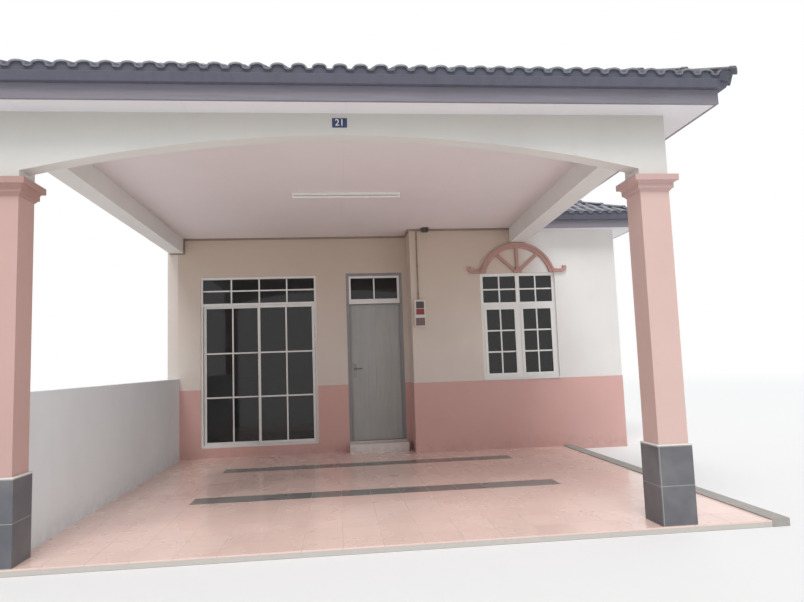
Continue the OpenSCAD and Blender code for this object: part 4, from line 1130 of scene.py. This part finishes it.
# %% Coated finishes
finishes["fascia_paint"] = coated("brown-grey paint on boards", paint(134, 130, 140), 0.55,
                                  (3.0, 3.0, 60.0), 0.22, depth=0.002)
finishes["cover_strip"] = coated("dark paint on a strip", paint(150, 134, 122), 0.6, uneven=0.2)
finishes["white_aluminium"] = coated("white powder coat", paint(236, 236, 233), 0.38, uneven=0.06)
finishes["door_frame_paint"] = coated("dark grey door frame paint", paint(150, 150, 152), 0.40)
finishes["door_paint"] = coated("grey door paint", paint(178, 181, 178), 0.42, (16.0, 16.0, 1.2), 0.14)
finishes["lever_metal"] = coated("dulled steel", paint(128, 126, 122), 0.36, (6.0, 90.0, 90.0), 0.15,
                                 metallic=1.0)
finishes["plate_paint"] = coated("blue enamel", paint(38, 54, 98), 0.28, coat=0.3)
finishes["lamp_body"] = coated("dark plastic", paint(74, 70, 68), 0.45)
finishes["lamp_white"] = coated("white enamel", paint(236, 236, 232), 0.40, uneven=0.05)
finishes["box_plastic"] = coated("off-white plastic", paint(222, 218, 210), 0.45)
red_plastic = coated("red plastic", paint(138, 52, 56), 0.42)
grey_plastic = coated("grey plastic", paint(122, 96, 98), 0.45)
# Painted shade: the eaves fillet is painted a dark blue-grey for the shade under the tile noses.
eaves_fillet_painted_shade = coated("eaves fillet paint darkened as painted shade", paint(100, 100, 115), 0.6, uneven=0.2)
# Painted shade: this mortar is painted darker and bluer than concrete for the shade under the tile noses,
# and the caps' mortar shares it.
mortar_with_painted_shade = plaster("mortar darkened as painted shade", paint(90, 92, 103), soil=0.0, streak=0.3, roughness=0.9)


# %% Glass
def glass_finish(name, colour, clear):
    """Dark, smooth and partly see-through, with a faint uneven haze in its gloss."""
    skin = Finish(name, 0.05)
    haze = skin.noise(2.2, detail=4.0)
    darker = dimmed(colour, 0.7)
    tone = skin.mix(haze, colour, darker)
    skin.shader.inputs["Alpha"].default_value = clear
    return skin.feed(base_color=tone, roughness=0.03 + haze.rise(0.4, 0.9) * 0.08)


finishes["glass"] = glass_finish("dark window glass", paint(38, 39, 41), 0.88)
print(len(finishes), "finishes")

# %% [markdown]
# ## Putting the finishes on
# The record says which finish each exact part has. The new pieces named theirs when they were
# made, so one loop dresses both. A few pieces have a shade of their own instead.

# %% Dress every piece
own_shades = {
    "meter_flap": red_plastic, "meter_cover": grey_plastic, "eaves_fillet": eaves_fillet_painted_shade,
    "cap_mortar": mortar_with_painted_shade, "eaves_mortar": mortar_with_painted_shade, "door_threshold": step_paint,
    "column_shafts": column_paint, "column_capitals": capital_paint, "party_wall": party_paint,
    "window_hood": hood_paint, "door_step": step_paint, "room_wall": room_wall_paint}
for name in ("front_wall_left", "front_wall_middle", "front_wall_right", "return_wall",
             "lintel_sliding_door", "lintel_door"):
    own_shades[name] = porch_wall_paint
part_slots = {row["node"]: row["material_slot"] for row in frame["record"]["subparts"]}
pieces = [(name, part, part_slots[name]) for name, part in frame["nodes"].items()]
pieces += [(name, bpy.data.objects[name], bpy.data.objects[name]["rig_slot"]) for name in made]
for name, piece, slot in pieces:
    piece.data.materials.clear()
    piece.data.materials.append(own_shades.get(name, finishes[slot]))
print("dressed", len(part_slots), "exact parts and", len(made), "new pieces")

# %% [markdown]
# ## Floor, light and camera
# The house stands on a plain pale floor that fades to white far away. A pale sky, a little dimmer
# on the left, and one large soft sun light it, and the camera sees plain white behind it. The camera
# stands in front of the porch, as in the picture, and looks a little up and to the right.

# %% Stage floor
FLOOR_HALF = 90.0
FLOOR_DROP = 0.002
FADE_START, FADE_END = 14.0, 40.0
floor_corners = [(-1, -1), (1, -1), (1, 1), (-1, 1)]
floor_mesh = bpy.data.meshes.new("stage_floor")
floor_mesh.from_pydata([(x * FLOOR_HALF, y * FLOOR_HALF, -FLOOR_DROP) for x, y in floor_corners],
                       [], [(0, 1, 2, 3)])
put_in_scene("stage_floor", floor_mesh)
ground = Finish("pale stage floor", 0.9)
ground.shader.inputs["Base Color"].default_value = (0.80, 0.80, 0.80, 1.0)
distance = ground.node("ShaderNodeVectorMath", {"operation": "LENGTH"}, {0: ground.place}, output=1)
seen = ground.node("ShaderNodeLightPath", output="Is Camera Ray")
white = ground.node("ShaderNodeEmission", inputs={"Color": (1, 1, 1, 1), "Strength": 1.0})
shader_out = Output(ground, ground.shader.outputs[0])
faded = ground.node("ShaderNodeMixShader", inputs={
    0: distance.rise(FADE_START, FADE_END) * seen, 1: shader_out, 2: white})
ground.tree.links.new(faded.socket, ground.tree.nodes["Material Output"].inputs["Surface"])
floor_mesh.materials.append(ground.material)
print("stage floor %.0f m across" % (2 * FLOOR_HALF))

# %% Sky and sun
SKY_LEFT, SKY_RIGHT = 0.44, 0.84
SUN_LEVEL, SUN_SPREAD = 1.95, 30
world = bpy.data.worlds.new("pale sky")
bpy.context.scene.world = world
world.use_nodes = True
sky = Nodes(world.node_tree)
east, _, _ = sky.axes()
level = east.rise(-0.5, 0.5) * (SKY_RIGHT - SKY_LEFT) + SKY_LEFT
sky.tree.nodes.remove(sky.tree.nodes["Background"])
lighting = sky.node("ShaderNodeBackground", inputs={"Color": (0.97, 0.985, 1.0, 1.0), "Strength": level})
backdrop = sky.node("ShaderNodeBackground", inputs={"Color": (1, 1, 1, 1)})
seen, mirrored, passed = (sky.node("ShaderNodeLightPath", output=rays)
                          for rays in ("Is Camera Ray", "Is Glossy Ray", "Is Transmission Ray"))
both = sky.node("ShaderNodeMixShader", inputs={
    0: seen.greater(mirrored).greater(passed), 1: lighting, 2: backdrop})
sky.tree.links.new(both.socket, sky.tree.nodes["World Output"].inputs["Surface"])

sun_data = bpy.data.lights.new("soft sun", "SUN")
sun_data.energy, sun_data.angle = SUN_LEVEL, math.radians(SUN_SPREAD)
sun = put_in_scene("soft sun", sun_data)
sun_direction = Vector((0.14, 0.62, -1.0))
sun.rotation_euler = sun_direction.to_track_quat("-Z", "Y").to_euler()
print("sky from %.2f to %.2f, sun %.2f" % (SKY_LEFT, SKY_RIGHT, SUN_LEVEL))

# %% Camera at the picture's viewpoint
FOCAL_PIXELS, PHOTO_WIDTH = 635.5, 804
YAW, PITCH, ROLL = 0.1053, 0.0969, 0.0348
EYE = (2.284, -4.811, 1.323)
lens = bpy.data.cameras.new("viewpoint")
lens.sensor_width = 36.0
lens.lens = lens.sensor_width * FOCAL_PIXELS / PHOTO_WIDTH
lens.clip_start, lens.clip_end = 0.1, 400
camera = put_in_scene("viewpoint", lens)
ahead = np.array([math.sin(YAW), math.cos(YAW), 0])
right = np.array([math.cos(YAW), -math.sin(YAW), 0])
up = np.array([0, 0, 1.0])
view_ahead = ahead * math.cos(PITCH) + up * math.sin(PITCH)
view_up = up * math.cos(PITCH) - ahead * math.sin(PITCH)
view_right = right * math.cos(ROLL) - view_up * math.sin(ROLL)
view_top = view_up * math.cos(ROLL) + right * math.sin(ROLL)
eye = np.array([x_left_column + EYE[0], shafts_low[1] + EYE[1], z_porch + EYE[2]])
columns = np.column_stack([view_right, view_top, -view_ahead, eye])
camera.matrix_world = Matrix([*columns.tolist(), [0, 0, 0, 1]])
bpy.context.scene.camera = camera
bpy.context.scene.view_settings.view_transform = "Standard"
print("camera at", eye.round(3))

# %% Bring the scene up to date
bpy.context.view_layer.update()
